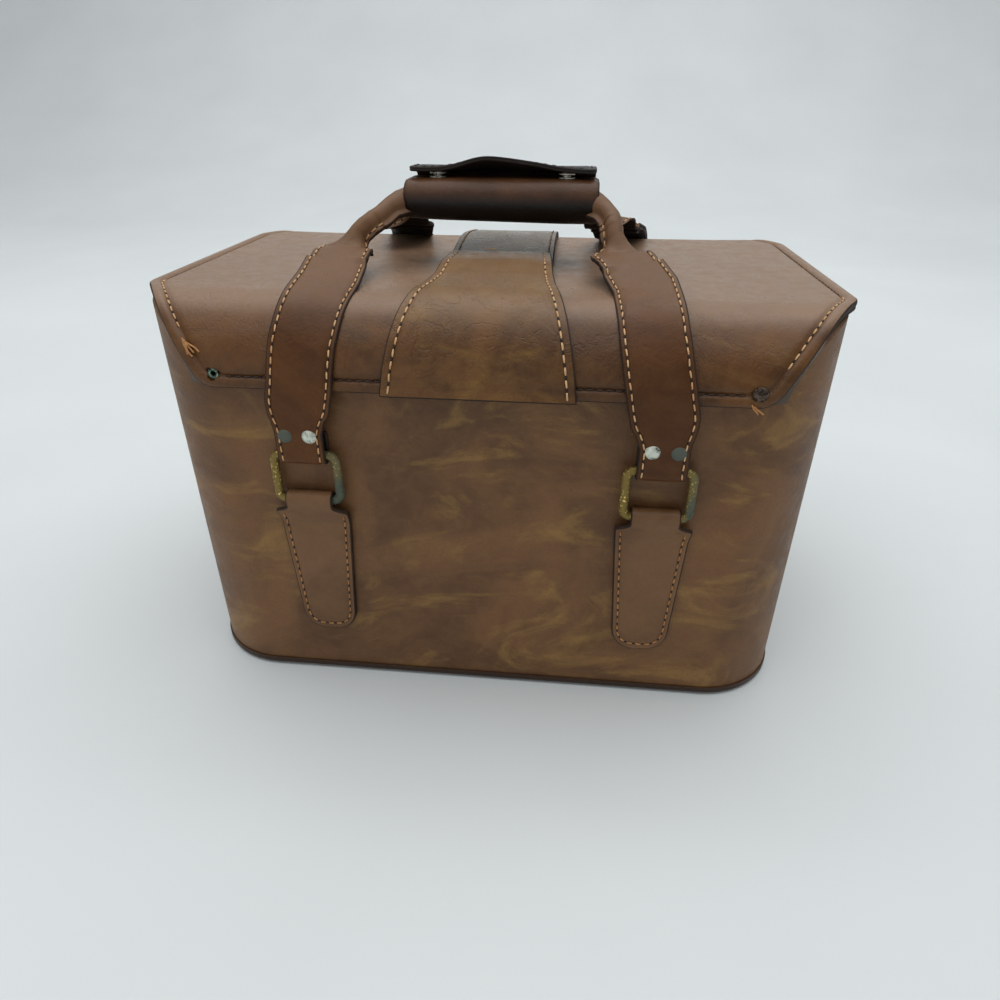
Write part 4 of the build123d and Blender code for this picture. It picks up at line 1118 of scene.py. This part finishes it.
strap_rows = [0.7, 1.4, 2.4, 4.0, 6.0]
strap_rows += list(np.arange(8.0, LOOP_END_S + 4, 1.0))
strap_rows += list(np.arange(LOOP_END_S + 5, FOLD_S - 4, 1.9))
strap_rows += list(np.arange(FOLD_S - 3, ROLLED_S + 22, 0.9))
strap_rows += list(np.linspace(strap_rows[-1] + 3, STRAP_SPAN / 2, 12))
strap_rows = np.array(strap_rows + [STRAP_SPAN - s for s in strap_rows[-2::-1]])
LINING_START = LOOP_END_S + 5.0


def strap_stitch_lines(late):
    """Both rows of stitches on each strap, running on into the tube's seam."""
    lines = []
    first, last = LOOP_END_S - 3, ROLLED_S + 12
    for low, high in ((first, last), (STRAP_SPAN - last, STRAP_SPAN - first)):
        lines += both_sides(lambda s: strap_side(s, late), 2.4, np.linspace(low, high, 150))
    return lines


def rope_core(name, place, late):
    """Rope inside the rolled part of a handle, under the middle of its leather."""
    rows = np.linspace(ROLLED_S - 2 + late, STRAP_SPAN - ROLLED_S + 2 - late, 120)
    turns = np.linspace(0, 2 * math.pi, CORE_SIDES, endpoint=False)
    points = []
    for k, s in enumerate(rows):
        radius = CORE * min(1.0, 0.05 + min(k, len(rows) - 1 - k) / 3)
        top = place(0.0, s, 0.0)
        across = place(0.1, s, 0.0) - top
        across /= np.linalg.norm(across)
        down = np.cross(place(0.0, s + 0.1, 0.0) - top, across)
        down *= -np.sign(down[2]) / np.linalg.norm(down)
        centre = top + down * (LEATHER + CORE + 0.1)
        points += [(centre + radius * (math.cos(a) * across + math.sin(a) * down)) * MM for a in turns]
    faces = []
    for start in range(0, len(points) - CORE_SIDES, CORE_SIDES):
        for i in range(CORE_SIDES):
            a, b = start + i, start + (i + 1) % CORE_SIDES
            faces.append((a, b, b + CORE_SIDES, a + CORE_SIDES))
    faces += [tuple(range(CORE_SIDES)), tuple(range(len(points) - CORE_SIDES, len(points)))]
    core = mesh_piece(f"{name}_rope_core", points, faces, [CORD])
    fitted(core, f"{name}_handle", f"{name}_handle_core")


for face, name in ((-1, "near"), (1, "far")):
    place = handle_place(face)
    body = f"{name}_handle"
    late = LATE[face]
    strap = panel(
        f"{name}_handle_strap", (0.0, STRAP_SPAN), lambda s: strap_side(s, late),
        lambda x, s, h: place(x, s, h - LEATHER), LEATHER,
        lambda x, s, d: sewn(0.35, 0.25, 2.4, 0.75)(x, s, d) * (1 - fold_share(s, late)),
        [STRAP_LEATHER, EDGE_LEATHER_AND_SHADE, BLACK_LEATHER], rows=strap_rows, count=16,
        close=(0.7, 1.2, 1.8, 2.4, 3.0, 3.8, 5.4),
    )
    fitted(strap, body, f"{name}_handle_leather")
    for low, high, side_name in (
        (LINING_START, FOLD_S - 9, "right"),
        (STRAP_SPAN - FOLD_S + 9, STRAP_SPAN - LINING_START, "left"),
    ):
        lining = panel(
            f"{name}_strap_lining_{side_name}", (low, high),
            lambda s: min(strap_side(s), 14.4) - 0.35,
            lambda x, s, h: place(x, s, h - LEATHER - LINING), LINING - 0.02, lambda x, s, d: d * 0,
            [BLACK_LEATHER], step=2.2, count=6, close=(0.7, 2.0, 4.0),
        )
        fitted(lining, body, f"{name}_strap_linings")
    rope_core(name, place, late)
    lines = strap_stitch_lines(late)
    sew(f"{name}_strap_stitches", lines, place, -0.15, body, PALE_THREAD, pitch=4.7, radius=0.38)


# Grip wrap, one padded half on each handle
def wrap_place(face):
    """Place function of one wrap half: x along the grip, s round it from the top split."""
    flat = TUBE_Y - 0.15

    def place(x, s, h):
        x, s, h = np.broadcast_arrays(np.asarray(x, float), s, h)
        radius = WRAP_OUTER + h
        angle = np.clip((s - flat) / WRAP_OUTER, 0, math.pi)
        y = -TUBE_Y - radius * np.sin(angle)
        z = GRIP_Z + radius * np.cos(angle)
        y = np.where(s < flat, -0.15 - s, y)
        z = np.where(s < flat, GRIP_Z + radius, z)
        after = s - flat - math.pi * WRAP_OUTER
        y = np.where(after > 0, -TUBE_Y + after, y)
        z = np.where(after > 0, GRIP_Z - radius, z)
        return np.stack((x, y * -face, z), -1)
    return place, 2 * flat + math.pi * WRAP_OUTER


def wrap_rise(x, s, d):
    """Padding that sinks at the grip's ends and swells a little in the middle."""
    end = GRIP_HALF - np.abs(x)
    soft = -0.9 * np.exp(-(end / 1.4) ** 2) - 0.25 * np.exp(-(((end - 5.0) / 1.2) ** 2))
    under = np.clip((s - 20.0) / 12.0, 0, 1)
    sag = 1.6 * (x / GRIP_HALF + 1) / 2 * under
    return soft + sag + 0.35 * np.clip(end / 20, 0, 1) - 0.35


for face, name in ((-1, "near"), (1, "far")):
    place, girth = wrap_place(face)
    wrap = panel(
        f"{name}_grip_padding", (0.0, girth), lambda s: GRIP_HALF,
        lambda x, s, h: place(x, s, h - 3.7), 3.7, wrap_rise, [GRIP_LEATHER, EDGE_LEATHER_AND_SHADE, BLACK_LEATHER],
        step=1.6, count=40, close=(0.7, 1.2, 1.8, 2.6, 3.6, 5.0, 6.4),
    )
    fitted(wrap, f"{name}_handle", f"{name}_grip_wrap")

# Flap of the wrap: two layers, standing up in a buckle over the grip
flap_low, flap_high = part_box("grip_flap")
FLAP_HALF = flap_high.x / MM
FLAP_THICK = 2.4
FLAP_UNDER = GRIP_Z + WRAP_OUTER + 2.5
FLAP_CENTRE = 5.5
FLAP_RADIUS = FLAP_UNDER - GRIP_Z
FLAP_FREE = -flap_low.y / MM
FLAP_ARC = math.radians(70) * FLAP_RADIUS
FLAP_SPAN = FLAP_ARC + FLAP_CENTRE + FLAP_FREE


def flap_buckle(x):
    """Height of the buckle along the flap's free edge."""
    places = [-48, -33, -24, -18, -12, -7, 0, 8, 18, 28, 36, 48]
    return np.interp(x, places, [0.3, 0.2, 1.7, 3.6, 5.2, 5.7, 5.2, 4.3, 2.9, 1.0, 0.1, -0.4])


def on_flap(x, s, h):
    """Flap's place: up the far side of the grip, over it and out to the free edge."""
    x, s, h = np.broadcast_arrays(np.asarray(x, float), s, h)
    angle = math.radians(20) + np.clip(s, 0, FLAP_ARC) / FLAP_RADIUS
    radius = FLAP_RADIUS + h
    y = FLAP_CENTRE + radius * np.cos(angle)
    z = GRIP_Z + radius * np.sin(angle)
    after = np.maximum(s - FLAP_ARC, 0)
    share = np.clip(after / (FLAP_CENTRE + FLAP_FREE), 0, 1)
    smooth = sum(flap_buckle(x + k) for k in (-3, -1.5, 0, 1.5, 3)) / 5
    return np.stack((x, y - after, z + smooth * share**1.4), -1)


def flap_side(s):
    """Half width of the flap, with rounded corners at its free edge."""
    left_over = FLAP_SPAN - s
    corner = 6.0
    if left_over >= corner:
        return FLAP_HALF
    return FLAP_HALF - corner + math.sqrt(max(corner**2 - (corner - left_over) ** 2, 0.0))


flap = panel(
    "grip_flap_leather", (0.0, FLAP_SPAN), flap_side, on_flap, FLAP_THICK,
    sewn(0.25, 0.15, 2.6, 0.7), [FLAP_LEATHER, BLACK_LEATHER, BLACK_LEATHER], step=1.5, count=44,
)
fitted(flap, "grip_flap", "grip_flap")
flap_lines = both_sides(lambda s: FLAP_HALF, 2.6, np.linspace(1, FLAP_SPAN - 6, 24))
flap_lines.append(np.array([(x, FLAP_SPAN - 2.6) for x in np.linspace(-FLAP_HALF + 6, FLAP_HALF - 6, 60)]))
sew("flap_stitches", flap_lines, on_flap, FLAP_THICK - 0.2, "grip_flap", DARK_THREAD, pitch=4.4, radius=0.36)

# Inside: padded floor and dividers under velour
base_low, base_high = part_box("base_pad")


def rounded_rect(x_half, y_half, corner):
    """Half width in x at each y of a rectangle with rounded corners."""
    def half(y):
        left_over = y_half - abs(y)
        if left_over >= corner:
            return x_half
        return x_half - corner + math.sqrt(max(corner**2 - (corner - left_over) ** 2, 0.0))
    return half


pad_x, pad_y = base_high.x / MM, base_high.y / MM
pad_half = rounded_rect(pad_x - 0.3, pad_y - 0.3, 40.0)
pad_z, pad_thick = base_low.z / MM, (base_high.z - base_low.z) / MM
floor_pad = panel(
    "floor_pad", (-pad_y + 0.3, pad_y - 0.3), pad_half,
    lambda x, s, h: np.stack((x, s, pad_z + h), -1), pad_thick - 1.6,
    lambda x, s, d: 1.5 * np.clip(1 - np.exp(-d / 5), 0, 1), [VELOUR], step=3.5, count=50,
    edge=((0.15, 0.12), (0.0, 0.3), (0.0, 0.6), (0.1, 0.85), (0.7, 1.0)),
)
fitted(floor_pad, "case", "base_pad")

for name in ("divider_left", "divider_right"):
    low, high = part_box(name)
    div_half = rounded_rect((high.y - low.y) / 2 / MM - 0.2, (high.z - low.z) / 2 / MM - 0.2, 10.0)
    div_x = (low.x + high.x) / 2 / MM
    div_z = (low.z + high.z) / 2 / MM
    div_reach = (high.z - low.z) / 2 / MM - 0.2
    divider = panel(
        f"{name}_padding", (-div_reach, div_reach), div_half,
        lambda x, s, h: np.stack((div_x - 3.0 + h, x, div_z + s), -1), 5.0,
        lambda x, s, d: 0.9 * (1 - np.exp(-d / 6)), [VELOUR], step=3.0, count=40,
        edge=((0.2, 0.1), (0.0, 0.3), (0.0, 0.7), (0.2, 0.9), (0.7, 1.0)),
    )
    fitted(divider, "case", name)

# Loose ends of thread at the lid's corners and on the bell
def loose_thread(name, points, radius, material):
    """A short frayed end as a thin tube."""
    curve = bpy.data.curves.new(name, "CURVE")
    curve.dimensions = "3D"
    curve.bevel_depth = radius * MM
    curve.bevel_resolution = 2
    spline = curve.splines.new("NURBS")
    spline.points.add(len(points) - 1)
    for target, point in zip(spline.points, points):
        target.co = (*(Vector(point) * MM), 1.0)
    spline.order_u = 3
    spline.use_endpoint_u = True
    draft = linked(name + "_draft", curve)
    bpy.context.view_layer.update()
    mesh = bpy.data.meshes.new_from_object(draft.evaluated_get(bpy.context.evaluated_depsgraph_get()))
    bpy.data.objects.remove(draft)
    mesh.materials.clear()
    mesh.materials.append(material)
    fitted(linked(name, mesh), "lid")


def lid_points(places):
    """Points on the lid from (x, s, height) triples."""
    return [tuple(on_lid(*np.array(p, float))) for p in places]


frays = (
    ((-133.0, 21.5, 0.3), (-131.4, 19.6, 0.9), (-129.0, 17.4, 0.7), (-127.0, 15.2, 0.5)),
    ((-132.0, 20.8, 0.3), (-130.5, 18.2, 1.3), (-129.6, 15.2, 0.9), (-127.6, 13.6, 0.6)),
    ((-131.0, 19.8, 0.3), (-128.5, 18.4, 1.1), (-126.4, 17.6, 0.9), (-124.6, 15.6, 0.5)),
    ((-132.6, 21.2, 0.4), (-132.0, 18.8, 0.7), (-130.4, 17.0, 1.1), (-129.8, 14.4, 0.6)),
)
for number, fray in enumerate(frays):
    loose_thread(f"left_fray_{number}", lid_points(fray), 0.42, ORANGE_THREAD)
right_frays = (
    ((117.0, 1.4, 1.0), (118.4, 0.2, 1.8), (119.8, -0.6, 1.6), (121.4, -1.9, 1.2)),
    ((116.0, 2.2, 1.0), (116.8, 0.4, 1.9), (118.6, -0.9, 1.7), (119.0, -1.8, 1.2)),
)
for number, fray in enumerate(right_frays):
    loose_thread(f"right_fray_{number}", lid_points(fray), 0.36, ORANGE_THREAD)
bell_fray = [(-9.0, -4.0), (-7.0, -4.8), (-5.2, -5.8), (-4.0, -5.2), (-2.4, -7.0)]
bell_fray = [(x, BELL_END + s) for x, s in bell_fray]
bell_fray = [tuple(on_bell(np.array(x), np.array(s), np.array(BELL_THICK + 1.7))) for x, s in bell_fray]
loose_thread("bell_fray", bell_fray, 0.3, PALE_THREAD)

# CAD nodes that stay get their finish
dress(BODY_LEATHER, "body_cover", "hinge_strip")
dress(BOARD, "body_board", "lid_board")
dress(VELOUR, "body_lining", "lid_lining")
dress(BASE_DARK, "base_board")
dress(BRASS_LEFT, "near_ring_left", "far_ring_left")
dress(BRASS_RIGHT, "near_ring_right", "far_ring_right")
dress(BRASS_LOCK, "lock_case", "lock_slide", "lock_tongue")
dress(SPRING_STEEL, "lock_spring")
dress(BRIGHT_RIVET, "closure_rivets")
dress(SNAP_METAL, "near_snap_studs", "flap_snap_caps")
dress(GREEN_RIVET, "corner_rivet_left")
dress(DARK_RIVET, "corner_rivet_right")
dress(STRAP_RIVET, "near_strap_rivets", "far_strap_rivets")

# Floor, light and world
floor_material, floor_sockets, tools, place = fresh_material("floor", (214, 219, 219), 0.75)
floor_cloud = tools.mixed(tools.noise(place, 3.0, 3, 0.5), (206, 211, 211), (222, 227, 228))
tools.join(floor_cloud, floor_sockets["Base Color"])
floor_mesh = bpy.data.meshes.new("floor")
SWEEP_WIDTH = 7.0
SWEEP_START = 1.3
SWEEP_ROUND = 1.6
profile = [(-6.0, 0.0), (-2.0, 0.0), (SWEEP_START, 0.0)]
for k in range(1, 25):
    turned = math.radians(90 * k / 24)
    profile.append((SWEEP_START + SWEEP_ROUND * math.sin(turned), SWEEP_ROUND * (1 - math.cos(turned))))
profile.append((SWEEP_START + SWEEP_ROUND, 5.0))
floor_points = [(x, y, z) for y, z in profile for x in (-SWEEP_WIDTH, SWEEP_WIDTH)]
floor_faces = [(2 * k, 2 * k + 1, 2 * k + 3, 2 * k + 2) for k in range(len(profile) - 1)]
floor_mesh.from_pydata(floor_points, [], floor_faces)
floor_mesh.polygons.foreach_set("use_smooth", [True] * len(floor_faces))
floor_mesh.materials.append(floor_material)
linked("floor", floor_mesh)


def lamp(name, place, target, size, power, colour=(1.0, 1.0, 1.0)):
    """Soft square lamp aimed at a point."""
    data = bpy.data.lights.new(name, "AREA")
    data.shape = "SQUARE"
    data.size = size
    data.energy = power
    data.color = colour
    light = linked(name, data)
    light.location = place
    light.rotation_mode = "QUATERNION"
    light.rotation_quaternion = (Vector(target) - Vector(place)).to_track_quat("-Z", "Y")


lamp("over", (0.0, 0.1, 2.1), (0, 0.0, 0.1), 3.0, 38.0, (1.0, 0.995, 0.98))
lamp("front", (-0.7, -1.9, 0.7), (0, 0, 0.05), 1.6, 4.0)
lamp("backdrop", (0.0, 1.0, 2.4), (0.0, 3.0, 0.8), 1.8, 12.5)


world = bpy.data.worlds.new("world")
bpy.context.scene.world = world
tools = Nodes(world)
back_light = world.node_tree.nodes["Background"].inputs
back_light["Color"].default_value = (0.94, 0.965, 1.0, 1.0)
levels = {"From Min": -0.7, "From Max": 0.5, "To Min": 0.38, "To Max": 0.75}
brightness = tools.put("ShaderNodeMapRange", interpolation_type="SMOOTHSTEP", **levels)
sky_place = tools.put("ShaderNodeTexCoord").outputs["Generated"]
tools.join(tools.axis(sky_place, "Y"), brightness.inputs["Value"])
tools.join(brightness.outputs[0], back_light["Strength"])

bpy.context.scene.view_settings.view_transform = "Standard"
